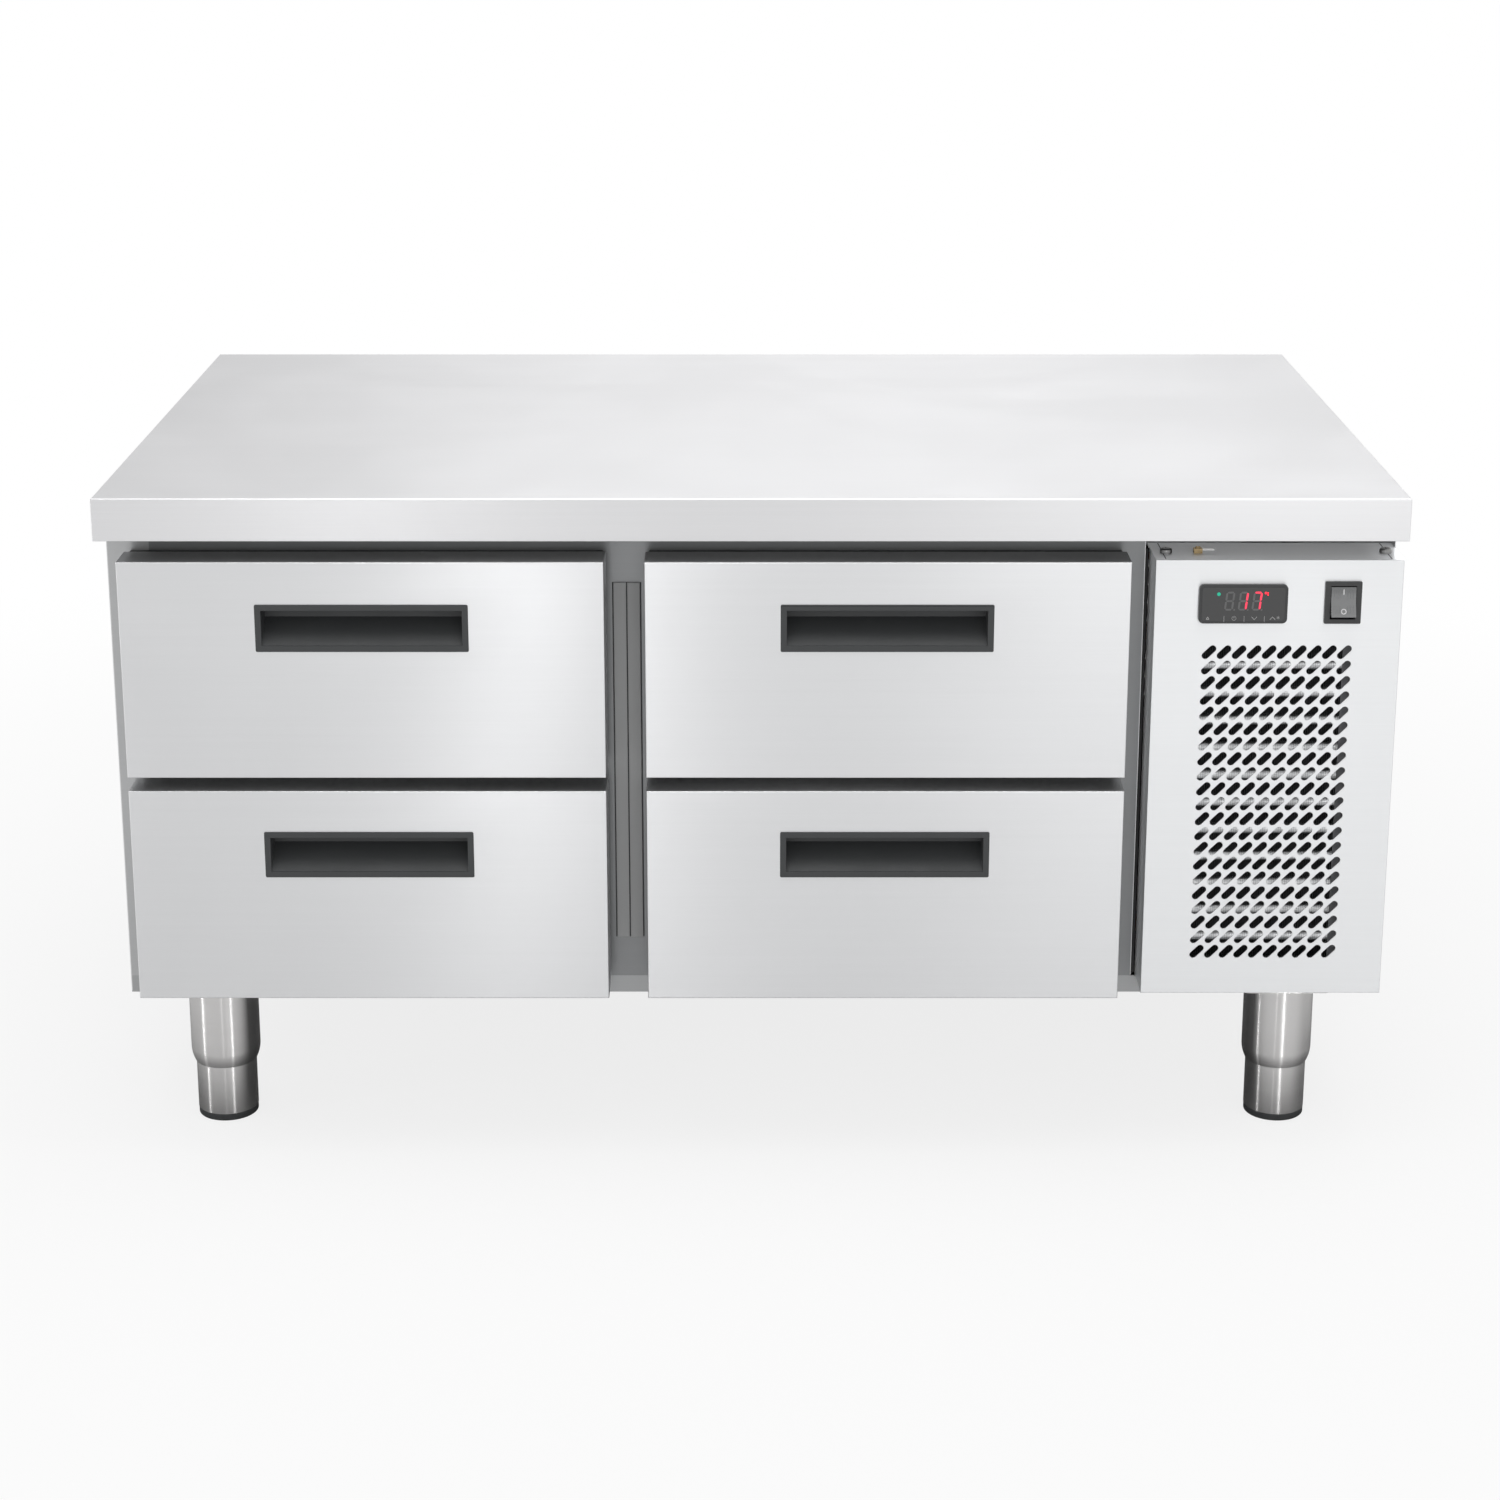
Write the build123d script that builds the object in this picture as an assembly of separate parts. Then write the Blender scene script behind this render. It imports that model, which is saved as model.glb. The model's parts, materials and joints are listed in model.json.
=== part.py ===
from build123d import *
import os

# A refrigerated chef base: a low counter with four cold drawers under a steel worktop, and a
# technical compartment with the condensing unit at the right-hand end.
# Millimetres. X runs to the right as seen from the front, the front faces -Y, Z is up.
# The origin is on the floor, under the middle of the worktop.

# Overall size
width = 1200.0
depth = 700.0
height = 650.0

# Worktop: a folded steel sheet around a stiffening board
worktop_thickness = 40.0
worktop_sheet = 1.2
worktop_fold_radius = 1.8
worktop_return = 22.0

# Body: where it lies under the worktop
frame_setback = 58.0
rear_overhang = 20.0
leg_height = 145.0
tech_width = 230.0
compartment_gap = 2.5

# Body: sheets and wall thicknesses, from the outer face to the face inside the cold room
casing_sheet = 0.8
base_sheet = 1.5
base_flange_height = 17.0
liner_sheet = 0.8
side_wall = 39.5
rear_wall = 42.0
floor_wall = 58.0
roof_wall = 54.0

# Front frame around the four drawer openings
frame_depth = 25.0
frame_sheet = 1.2
mullion_width = 77.0
middle_rail_height = 41.0
cover_width = 27.0
cover_thickness = 2.0
cover_edge_radius = 1.2
cover_groove_width = 1.4
cover_groove_depth = 1.0

# Drawer fronts
front_setback = 1.0
front_thickness = 40.0
front_top_gap = 20.0
front_bottom_gap = 17.0
front_gap = 13.0
front_overlap = 20.0
front_sheet = 1.0
front_edge_radius = 1.2
gasket_width = 14.0
gasket_inset = 3.0
gasket_clearance = 0.3

# Recessed handles
handle_width = 196.0
handle_height = 45.0
handle_drop = 40.0
handle_lip = 1.0
handle_border = 5.8
handle_corner_radius = 1.5
handle_wall = 2.0
handle_pocket_depth = 24.0
handle_back_height = 12.0
handle_clearance = 0.2

# Drawer slides of three members
slide_thickness = 12.7
slide_height = 45.7
slide_front_gap = 2.0
slide_rear_gap = 62.0
slide_sheet = 1.5
slide_race = 3.0
slide_clearance = 0.3

# Drawer frames, which hang one pan of 530 by 325 mm by its rim
tray_side_ledge = 36.7
tray_front_ledge = 16.0
tray_rear_ledge = 12.0
tray_overhang = 3.0
tray_gap = 16.25
tray_sheet = 1.5

# Centre posts that carry the slides between the two bays
post_depth = 25.0
post_sheet = 1.5
post_end_margin = 12.0

# Evaporator in its housing on the rear wall
housing_width = 320.0
housing_depth = 52.0
housing_bottom_gap = 22.0
housing_top_gap = 31.0
housing_sheet = 1.0
housing_inlet_width = 200.0
housing_inlet_height = 8.0
housing_inlet_pitch = 16.0
evaporator_width = 260.0
evaporator_depth = 36.0
evaporator_bottom_gap = 12.0
evaporator_top_gap = 25.0
evaporator_pitch = 25.0

# Evaporator fan: a square frame with a rotor
small_fan_share = 0.4
small_fan_depth = 38.0
small_fan_top_gap = 14.0
small_fan_wall = 2.5
small_fan_tip_clearance = 2.0
small_fan_hub_share = 0.25
small_fan_hub_depth = 26.0
small_fan_chord = 24.0
small_fan_blades = 7
small_fan_strut = 6.0
small_fan_strut_overlap = 2.0
small_fan_stator = 5.0
small_fan_shaft_radius = 2.5
small_fan_corner_radius = 6.0

# Coils of tube with fins
tube_radius = 4.8
tube_stub = 6.0
tube_row_share = 0.25
header_radius = 5.5
coil_port = 7.0
coil_plate = 1.5
coil_plate_rim = 6.0

# Unit tray and condenser
tray_top_height = 20.5
unit_tray_sheet = 1.5
unit_tray_front_gap = 18.0
unit_tray_rear_gap = 78.0
unit_side_gap = 10.0
condenser_front_gap = 20.0
condenser_depth = 44.0
condenser_top_gap = 66.0
condenser_left_gap = 28.0
condenser_right_gap = 38.0
condenser_pitch = 27.0

# Condenser fan
shroud_sheet = 1.2
shroud_depth = 30.0
shroud_collar = 18.0
shroud_side_margin = 10.0
shroud_rim = 4.0
fan_tip_radius = 77.0
fan_tip_clearance = 3.0
fan_hub_radius = 24.0
fan_hub_depth = 24.0
fan_chord = 36.0
fan_blades = 5
fan_blade_thickness = 1.6
fan_root_overlap = 3.0
fan_pitch_angle = 32.0
fan_shroud_gap = 3.0
fan_motor_radius = 38.0
fan_motor_length = 56.0
fan_motor_edge_radius = 4.0
fan_shaft_radius = 3.0
fan_bracket_gap = 3.0
fan_bracket_width = 22.0
fan_bracket_sheet = 3.0
running_clearance = 0.05

# Compressor
compressor_radius = 74.0
compressor_height = 178.0
compressor_dome_radius = 34.0
compressor_offset = 49.5
compressor_foot_width = 178.0
compressor_foot_length = 150.0
compressor_foot_thickness = 3.0
compressor_foot_radius = 12.0
grommet_radius = 11.0
grommet_height = 12.0
grommet_inset = 16.0
compressor_cover_width = 56.0
compressor_cover_height = 70.0
compressor_cover_depth = 26.0
compressor_stub = 16.0
discharge_share = 0.33

# Refrigerant pipes and filter drier
suction_radius = 5.0
discharge_radius = 4.0
liquid_radius = 3.0
pipe_bend_radius = 10.0
pipe_wall_gap = 7.0
pipe_hole_clearance = 0.3
pipe_riser = 16.0
drier_radius = 12.0
drier_share = 0.57
drier_cone_share = 0.125
drier_from_wall = 34.0
drier_behind_compressor = 40.0

# Panels of the technical compartment
panel_setback = 12.0
panel_sheet = 1.0
panel_side_gap = 1.0
panel_bottom_gap = 18.0
panel_top_gap = 20.5
panel_top_flange = 64.0
panel_side_flange = 46.0
panel_bottom_flange = 13.0
panel_edge_radius = 0.8
slot_length = 16.0
slot_width = 6.8
slot_angle = 45.0
slot_pitch_x = 13.9
slot_pitch_z = 14.8
grille_left_margin = 52.0
grille_right_margin = 50.5
grille_bottom_margin = 42.4
grille_top_margin = 88.0
side_panel_sheet = 0.8
louvre_length = 160.0
louvre_width = 7.0
louvre_pitch = 22.0
louvre_margin = 88.0

# Screws and earth terminal on the control panel's top flange
panel_screw_head_radius = 5.6
panel_screw_head_height = 4.6
panel_screw_dome_radius = 2.4
panel_screw_slot_length = 6.4
panel_screw_slot_width = 1.2
panel_screw_slot_depth = 1.6
panel_screw_shank_radius = 2.4
panel_screw_shank_length = 9.0
panel_screw_side_inset = 12.5
panel_screw_from_front = 27.0
terminal_from_left = 38.0
terminal_width = 8.0
terminal_height = 6.0
terminal_depth = 6.0
terminal_tongue_length = 12.0
terminal_tongue_thickness = 0.8

# Temperature controller
controller_width = 81.5
controller_height = 37.0
controller_from_left = 40.5
controller_from_top = 22.5
controller_lip = 4.0
controller_corner_radius = 4.6
controller_case_width = 71.0
controller_case_height = 29.0
controller_case_depth = 58.0
controller_cutout_clearance = 0.2
window_margin = 2.4
window_thickness = 1.0

# Power switch
switch_width = 33.7
switch_height = 40.2
switch_from_right = 38.0
switch_from_top = 20.0
switch_lip = 2.4
switch_corner_radius = 1.2
switch_window_width = 23.6
switch_window_height = 31.6
switch_body_wall = 2.2
switch_body_depth = 24.0
rocker_side_clearance = 0.4
rocker_half_height = 14.0
rocker_end_rise = 6.5
rocker_middle_rise = 4.2
rocker_back = 3.0
rocker_back_half_height = 10.0
rocker_pivot_depth = 3.0
rocker_rest_angle = 12.0
trunnion_radius = 1.2
trunnion_length = 1.4

# Legs and their adjustable feet
leg_side_inset = 80.0
leg_front_inset = 105.0
leg_radius = 33.7
leg_wall = 1.6
leg_shoulder_bottom = 57.0
leg_shoulder_height = 15.0
leg_flange_size = 104.0
leg_flange_thickness = 3.0
leg_flange_corner_radius = 8.0
leg_stud_radius = 8.0
leg_stud_end = 52.0
foot_radius = 29.4
foot_wall = 1.5
foot_clearance = 0.3
foot_top = 82.0
foot_top_plate = 5.0
pad_height = 6.0
pad_rim = 0.8
pad_edge_radius = 2.0
pad_plug_height = 5.0

# Cable gland in the rear panel, where the supply cord would leave
gland_from_right = 40.0
gland_from_bottom = 48.0
gland_thread_radius = 8.0
gland_nut_radius = 12.0
gland_nut_thickness = 5.0
gland_cap_radius = 11.0
gland_cap_length = 15.0
gland_cap_edge_radius = 3.0
gland_bore_radius = 4.0
gland_bore_depth = 10.0
gland_clearance = 0.2

# How far a cutting tool runs past the face that it cuts, and how close a picked edge must lie
overrun = 5.0
pick_slack = 0.1

# Main planes
left = -width / 2
right = width / 2
front = -depth / 2
back = depth / 2
worktop_bottom = height - worktop_thickness
body_front = front + frame_setback
body_back = back - rear_overhang
body_bottom = leg_height
tech_left = right - tech_width
box_right = tech_left - compartment_gap
base_top = body_bottom + base_sheet

# Cold room
room_left = left + side_wall
room_right = box_right - side_wall
room_front = body_front + frame_depth
room_back = body_back - rear_wall
room_floor = body_bottom + floor_wall
room_roof = worktop_bottom - roof_wall
bay_width = (room_right - room_left - mullion_width) / 2
mullion_left = room_left + bay_width
mullion_right = mullion_left + mullion_width
room_middle = (mullion_left + mullion_right) / 2
bay_centres = {"left": room_left + bay_width / 2, "right": mullion_right + bay_width / 2}

# Drawer levels, lower and upper
front_height = (worktop_bottom - front_top_gap - body_bottom - front_bottom_gap - front_gap) / 2
lower_front_bottom = body_bottom + front_bottom_gap
upper_front_bottom = lower_front_bottom + front_height + front_gap
rail_bottom = upper_front_bottom - front_gap / 2 - middle_rail_height / 2
rail_top = rail_bottom + middle_rail_height
levels = {
    "lower": {"front_bottom": lower_front_bottom, "slide": (room_floor + rail_bottom) / 2},
    "upper": {"front_bottom": upper_front_bottom, "slide": (rail_top + room_roof) / 2},
}
front_face = front + front_setback
front_rear = front_face + front_thickness
slide_start = body_front + slide_front_gap
slide_end = room_back - slide_rear_gap
tray_rear = slide_end + tray_overhang
tray_web_height = rail_bottom - room_floor - tray_gap * 2

# Technical compartment
panel_face = front + panel_setback
panel_left = tech_left + panel_side_gap
panel_right = right - panel_side_gap
panel_bottom = body_bottom + panel_bottom_gap
panel_top = worktop_bottom - panel_top_gap
unit_floor = body_bottom + tray_top_height
unit_left = tech_left + unit_side_gap
unit_right = right - unit_side_gap
unit_middle = (unit_left + unit_right) / 2


def block(x0, x1, y0, y1, z0, z1):
    """A box between two corners."""
    low = (Align.MIN, Align.MIN, Align.MIN)
    return Pos(x0, y0, z0) * Box(x1 - x0, y1 - y0, z1 - z0, align=low)


def rod_x(x0, x1, y, z, radius):
    """A round rod along X."""
    rod = Cylinder(radius, x1 - x0, align=(Align.CENTER, Align.CENTER, Align.MIN))
    return Pos(x0, y, z) * Rot(0, 90, 0) * rod


def rod_y(y0, y1, x, z, radius):
    """A round rod along Y."""
    rod = Cylinder(radius, y1 - y0, align=(Align.CENTER, Align.CENTER, Align.MIN))
    return Pos(x, y0, z) * Rot(-90, 0, 0) * rod


def rod_z(z0, z1, x, y, radius):
    """A round rod along Z."""
    rod = Cylinder(radius, z1 - z0, align=(Align.CENTER, Align.CENTER, Align.MIN))
    return Pos(x, y, z0) * rod


def side_profile(points, x0, x1):
    """A prism along X, from its outline in Y and Z."""
    face = make_face(Polyline(*[(x0, y, z) for y, z in points], close=True))
    return extrude(face, amount=x1 - x0, dir=(1, 0, 0))


def edges_near(shape, axis, value, along=None):
    """The edges whose middle lies at one value on an axis, or only those along another axis."""
    picked = shape.edges()
    if along is not None:
        picked = picked.filter_by(along)
    return picked.filter_by_position(axis, value - pick_slack, value + pick_slack)


def save(name, *shapes):
    """Write the solids of one sub-part to its file."""
    solids = []
    for shape in shapes:
        solids.extend(shape.solids())
    export_step(Compound(solids) if len(solids) > 1 else solids[0], f"parts/{name}.step")


# Worktop

def worktop_skin():
    """One steel sheet, folded down on four sides and back in under the board."""
    skin = block(left, right, front, back, worktop_bottom, height)
    skin = fillet(edges_near(skin, Axis.Z, height), worktop_fold_radius)
    skin -= block(left + worktop_sheet, right - worktop_sheet, front + worktop_sheet,
                  back - worktop_sheet, worktop_bottom + worktop_sheet, height - worktop_sheet)
    skin -= block(left + worktop_return, right - worktop_return, front + worktop_return,
                  back - worktop_return, worktop_bottom - overrun, height - worktop_sheet)
    return skin


def worktop_core():
    """The board inside the worktop, with a rebate over the folded-in edge."""
    core = block(left + worktop_sheet, right - worktop_sheet, front + worktop_sheet,
                 back - worktop_sheet, worktop_bottom + worktop_sheet, height - worktop_sheet)
    foot = block(left + worktop_return, right - worktop_return, front + worktop_return,
                 back - worktop_return, worktop_bottom, height - worktop_sheet)
    return core + foot


# Body

def pipe_hole(x0, x1, y, z, radius):
    """The hole that a refrigerant pipe needs through the wall of the cold room."""
    return rod_x(x0 - overrun, x1 + overrun, y, z, radius + pipe_hole_clearance)


def outer_casing():
    """The outer sheets: left side, back, and the partition beside the technical compartment."""
    side = block(left, left + casing_sheet, body_front, body_back, base_top, worktop_bottom)
    rear = block(left + casing_sheet, box_right - casing_sheet, body_back - casing_sheet,
                 body_back, base_top, worktop_bottom)
    partition = block(box_right - casing_sheet, box_right, body_front + base_sheet, body_back,
                      base_top, worktop_bottom)
    for y, z, radius in wall_pipes:
        partition -= pipe_hole(box_right - casing_sheet, box_right, y, z, radius)
    return side, rear, partition


def base_panel():
    """The bottom sheet over the whole width, folded up along the front."""
    sheet = block(left, right, body_front, body_back, body_bottom, base_top)
    flange = block(left + casing_sheet, right - side_panel_sheet, body_front,
                   body_front + base_sheet, body_bottom, body_bottom + base_flange_height)
    return sheet + flange


def insulation():
    """The foam between the outer sheets and the liner."""
    foam = block(left + casing_sheet, box_right - casing_sheet, room_front,
                 body_back - casing_sheet, base_top, worktop_bottom)
    room = block(room_left - liner_sheet, room_right + liner_sheet, room_front - overrun,
                 room_back + liner_sheet, room_floor - liner_sheet, room_roof + liner_sheet)
    foam -= room
    for y, z, radius in wall_pipes:
        foam -= pipe_hole(room_right, box_right, y, z, radius)
    return foam


def inner_liner():
    """The five sheets of the cold room."""
    sheet = liner_sheet
    floor = block(room_left - sheet, room_right + sheet, room_front, room_back + sheet,
                  room_floor - sheet, room_floor)
    roof = block(room_left - sheet, room_right + sheet, room_front, room_back + sheet,
                 room_roof, room_roof + sheet)
    rear = block(room_left - sheet, room_right + sheet, room_back, room_back + sheet,
                 room_floor, room_roof)
    left_wall = block(room_left - sheet, room_left, room_front, room_back, room_floor, room_roof)
    right_wall = block(room_right, room_right + sheet, room_front, room_back, room_floor,
                       room_roof)
    for y, z, radius in wall_pipes:
        right_wall -= pipe_hole(room_right, room_right + sheet, y, z, radius)
    return floor, roof, rear, left_wall, right_wall


def frame_bar(x0, x1, z0, z1):
    """A bar of the front frame: a folded channel, open at the back."""
    bar = block(x0, x1, body_front, room_front, z0, z1)
    return bar - block(x0 + frame_sheet, x1 - frame_sheet, body_front + frame_sheet,
                       room_front + overrun, z0 + frame_sheet, z1 - frame_sheet)


def front_frame():
    """The stiles, the mullion and the rails that the gaskets close on."""
    bottom = body_bottom + base_flange_height
    bars = [
        frame_bar(left + casing_sheet, room_left, bottom, worktop_bottom),
        frame_bar(mullion_left, mullion_right, bottom, worktop_bottom),
        frame_bar(room_right, box_right - casing_sheet, bottom, worktop_bottom),
    ]
    for start in (room_left, mullion_right):
        end = start + bay_width
        bars.append(frame_bar(start, end, bottom, room_floor))
        bars.append(frame_bar(start, end, rail_bottom, rail_top))
        bars.append(frame_bar(start, end, room_roof, worktop_bottom))
    return bars


def mullion_cover():
    """The cover strip on the mullion, with rounded edges and a groove down its middle."""
    face = body_front - cover_thickness
    cover = block(room_middle - cover_width / 2, room_middle + cover_width / 2, face, body_front,
                  room_floor, room_roof)
    cover = fillet(edges_near(cover, Axis.Y, face, Axis.Z), cover_edge_radius)
    cover -= block(room_middle - cover_groove_width / 2, room_middle + cover_groove_width / 2,
                   face - overrun, face + cover_groove_depth, room_floor - overrun,
                   room_roof + overrun)
    return cover


def centre_posts():
    """Two posts between the bays, which carry the slides on that side."""
    posts = []
    for y0 in (room_front + post_end_margin, slide_end - post_end_margin - post_depth):
        post = block(mullion_left, mullion_right, y0, y0 + post_depth, room_floor, room_roof)
        post -= block(mullion_left + post_sheet, mullion_right - post_sheet, y0 + post_sheet,
                      y0 + post_depth - post_sheet, room_floor - overrun, room_roof + overrun)
        posts.append(post)
    return posts


# Drawer slides, drawn for the left side of a bay and turned for the right side

def slide_channel(x0, x1, half_height, web_at_end, z):
    """A slide member: a web, with a thick race along its upper and its lower edge."""
    member = block(x0, x1, slide_start, slide_end, z - half_height, z + half_height)
    hollow = half_height - slide_race
    if web_at_end:
        return member - block(x0 - overrun, x1 - slide_sheet, slide_start - overrun,
                              slide_end + overrun, z - hollow, z + hollow)
    return member - block(x0 + slide_sheet, x1 + overrun, slide_start - overrun,
                          slide_end + overrun, z - hollow, z + hollow)


slide_half = slide_height / 2
middle_half = slide_half - slide_race - slide_clearance
inner_half = middle_half - slide_race - slide_clearance
middle_web = slide_sheet + slide_clearance
inner_web = middle_web + slide_sheet + slide_clearance


def slide_pair(bay, level, member):
    """The same member of the two slides of one drawer."""
    z = levels[level]["slide"]
    centre = bay_centres[bay]
    edge = -bay_width / 2
    if member == "outer":
        shape = slide_channel(edge, edge + slide_thickness, slide_half, False, z)
    elif member == "middle":
        shape = slide_channel(edge + middle_web, edge + slide_thickness, middle_half, False, z)
    else:
        shape = slide_channel(edge + inner_web, edge + slide_thickness, inner_half, True, z)
    twin = mirror(shape, Plane.YZ)
    return [Pos(centre, 0, 0) * shape, Pos(centre, 0, 0) * twin]


# Drawers

def drawer_skin(x0, x1, z0, z1, handle):
    """The steel front: a shallow tray with a cutout for the handle, and its inner cover."""
    skin = block(x0, x1, front_face, front_rear - front_sheet, z0, z1)
    skin = fillet(edges_near(skin, Axis.Y, front_face), front_edge_radius)
    skin -= block(x0 + front_sheet, x1 - front_sheet, front_face + front_sheet,
                  front_rear + overrun, z0 + front_sheet, z1 - front_sheet)
    skin -= block(handle["x0"] - handle_clearance, handle["x1"] + handle_clearance,
                  front_face - overrun, front_face + front_sheet + overrun,
                  handle["z0"] - handle_clearance, handle["z1"] + handle_clearance)
    cover = block(x0, x1, front_rear - front_sheet, front_rear, z0, z1)
    return skin, cover


def drawer_core(x0, x1, z0, z1, handle):
    """The foam inside the front, with room for the handle's pocket."""
    foam = block(x0 + front_sheet, x1 - front_sheet, front_face + front_sheet,
                 front_rear - front_sheet, z0 + front_sheet, z1 - front_sheet)
    foam -= block(handle["x0"] - handle_clearance, handle["x1"] + handle_clearance,
                  front_face - overrun, handle["rear"] + handle_clearance,
                  handle["z0"] - handle_clearance, handle["z1"] + handle_clearance)
    return foam


def drawer_gasket(x0, x1, z0, z1):
    """The soft ring between the drawer front and the front frame."""
    rear = body_front - gasket_clearance
    outer = gasket_inset
    inner = gasket_inset + gasket_width
    ring = block(x0 + outer, x1 - outer, front_rear, rear, z0 + outer, z1 - outer)
    ring -= block(x0 + inner, x1 - inner, front_rear - overrun, rear + overrun, z0 + inner,
                  z1 - inner)
    return ring


def handle_pocket(centre, z1):
    """The outer limits of the handle's pocket, behind its rim."""
    border = handle_border - handle_wall
    top = z1 - handle_drop
    return {"x0": centre - handle_width / 2 + border, "x1": centre + handle_width / 2 - border,
            "z0": top - handle_height + border, "z1": top - border,
            "rear": front_face + handle_pocket_depth + handle_wall}


def drawer_handle(pocket):
    """A moulded rim and a pocket, deep under the upper edge, with a sloping floor."""
    rim_face = front_face - handle_lip
    border = handle_border - handle_wall
    rim = block(pocket["x0"] - border, pocket["x1"] + border, rim_face, front_face,
                pocket["z0"] - border, pocket["z1"] + border)
    rim = fillet(rim.edges().filter_by(Axis.Y), handle_corner_radius)
    x0 = pocket["x0"]
    x1 = pocket["x1"]
    shelf = pocket["z1"] - handle_wall - handle_back_height
    shell = side_profile([(front_face, pocket["z0"]), (front_face, pocket["z1"]),
                          (pocket["rear"], pocket["z1"]), (pocket["rear"], shelf - handle_wall),
                          (front_face + handle_wall, pocket["z0"])], x0, x1)
    mouth = pocket["z0"] + handle_wall
    ceiling = pocket["z1"] - handle_wall
    rear = pocket["rear"] - handle_wall
    hollow = side_profile([(rim_face - overrun, mouth), (rim_face - overrun, ceiling),
                           (rear, ceiling), (rear, shelf), (front_face, mouth)],
                          x0 + handle_wall, x1 - handle_wall)
    return rim + shell - hollow


def drawer_tray(centre, z):
    """The welded frame that hangs the pan: four webs with a ledge along their upper edges."""
    half = bay_width / 2 - slide_thickness
    x0 = centre - half
    x1 = centre + half
    z0 = z - tray_web_height / 2
    z1 = z + tray_web_height / 2
    tray = block(x0, x1, front_rear, tray_rear, z0, z1)
    tray -= block(x0 + tray_sheet, x1 - tray_sheet, front_rear + tray_sheet,
                  tray_rear - tray_sheet, z0 - overrun, z1 - tray_sheet)
    tray -= block(x0 + tray_side_ledge, x1 - tray_side_ledge, front_rear + tray_front_ledge,
                  tray_rear - tray_rear_ledge, z0 - overrun, z1 + overrun)
    return tray


def save_drawer(bay, level):
    """All the nodes of one drawer and the middle members of its slides."""
    centre = bay_centres[bay]
    x0 = centre - bay_width / 2 - front_overlap
    x1 = centre + bay_width / 2 + front_overlap
    z0 = levels[level]["front_bottom"]
    z1 = z0 + front_height
    pocket = handle_pocket(centre, z1)
    name = f"{level}_{bay}"
    save(f"drawer_front_{name}", *drawer_skin(x0, x1, z0, z1, pocket))
    save(f"drawer_foam_{name}", drawer_core(x0, x1, z0, z1, pocket))
    save(f"drawer_gasket_{name}", drawer_gasket(x0, x1, z0, z1))
    save(f"drawer_handle_{name}", drawer_handle(pocket))
    save(f"drawer_tray_{name}", drawer_tray(centre, levels[level]["slide"]),
         *slide_pair(bay, level, "inner"))
    save(f"slide_middle_{name}", *slide_pair(bay, level, "middle"))


# Coils and fans

def half_bend(x, y, z, pitch, side):
    """A return bend in a vertical plane, on the left (side -1) or the right (side 1)."""
    reach = pitch / 2 + tube_radius
    ring = Pos(x, y, z) * Rot(90, 0, 0) * Torus(pitch / 2, tube_radius)
    near = min(x, x + side * (reach + overrun))
    far = max(x, x + side * (reach + overrun))
    return ring & block(near, far, y - reach, y + reach, z - reach - overrun, z + reach + overrun)


def tube_levels(z0, z1, pitch):
    """The heights of the tubes in a fin pack, evenly spread about its middle."""
    count = int((z1 - z0 - pitch / 2) / pitch) // 2 * 2
    start = (z0 + z1) / 2 - pitch * (count - 1) / 2
    return [start + pitch * index for index in range(count)]


def tube_rows(y0, y1):
    """The two rows of tubes in the depth of a fin pack."""
    inset = (y1 - y0) * tube_row_share
    return y0 + inset, y1 - inset


def coil(x0, x1, y0, y1, z0, z1, pitch):
    """A fin pack with two rows of tubes, bends at both ends and a header at top and bottom."""
    shape = block(x0, x1, y0, y1, z0, z1)
    heights = tube_levels(z0, z1, pitch)
    rows = tube_rows(y0, y1)
    for z in (heights[0], heights[-1]):
        shape += rod_y(rows[0] - tube_stub, rows[1] + tube_stub, x0 - tube_stub, z,
                       header_radius)
    for y in rows:
        for z in heights:
            shape += rod_x(x0 - tube_stub, x0, y, z, tube_radius)
            shape += rod_x(x1, x1 + tube_stub, y, z, tube_radius)
        for z in heights[0::2]:
            shape += half_bend(x1 + tube_stub, y, z + pitch / 2, pitch, 1)
        for z in heights[1:-1:2]:
            shape += half_bend(x0 - tube_stub, y, z + pitch / 2, pitch, -1)
    return shape


def fan_rotor(x, z, y0, hub_radius, hub_depth, tip_radius, chord, blades, bore_radius):
    """A hub with flat blades set at an angle, turning about a line along Y."""
    rotor = rod_y(y0, y0 + hub_depth, x, z, hub_radius)
    swept = rod_y(y0, y0 + hub_depth, x, z, tip_radius)
    reach = tip_radius - hub_radius + fan_root_overlap
    plate = Box(reach, chord, fan_blade_thickness, align=(Align.MIN, Align.CENTER, Align.CENTER))
    plate = Pos(hub_radius - fan_root_overlap, 0, 0) * Rot(fan_pitch_angle, 0, 0) * plate
    for index in range(blades):
        turn = Rot(0, 360 / blades * index, 0)
        rotor += (Pos(x, y0 + hub_depth / 2, z) * turn * plate) & swept
    return rotor - rod_y(y0 - overrun, y0 + hub_depth + overrun, x, z, bore_radius)


# Evaporator

housing_front = room_back - housing_depth
housing_floor = room_floor + housing_bottom_gap
housing_roof = room_roof - housing_top_gap
housing_left = room_middle - housing_width / 2
housing_right = room_middle + housing_width / 2
evaporator_right = room_middle + evaporator_width / 2
evaporator_rear = room_back - tube_radius
evaporator_front = evaporator_rear - evaporator_depth
small_fan_size = (housing_roof - housing_floor) * small_fan_share
small_fan_bore_radius = small_fan_size / 2 - small_fan_wall
small_fan_tip_radius = small_fan_bore_radius - small_fan_tip_clearance
small_fan_hub_radius = small_fan_size * small_fan_hub_share
small_fan_z = housing_roof - small_fan_top_gap - small_fan_size / 2
evaporator_floor = housing_floor + evaporator_bottom_gap
evaporator_roof = small_fan_z - small_fan_size / 2 - evaporator_top_gap
housing_inlet_rows = int((evaporator_roof - evaporator_floor) / housing_inlet_pitch)
small_fan_front = housing_front + housing_sheet
evaporator_tubes = tube_levels(evaporator_floor, evaporator_roof, evaporator_pitch)
evaporator_row_front, evaporator_row_rear = tube_rows(evaporator_front, evaporator_rear)
pipe_joint_x = housing_right + tube_stub

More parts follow.
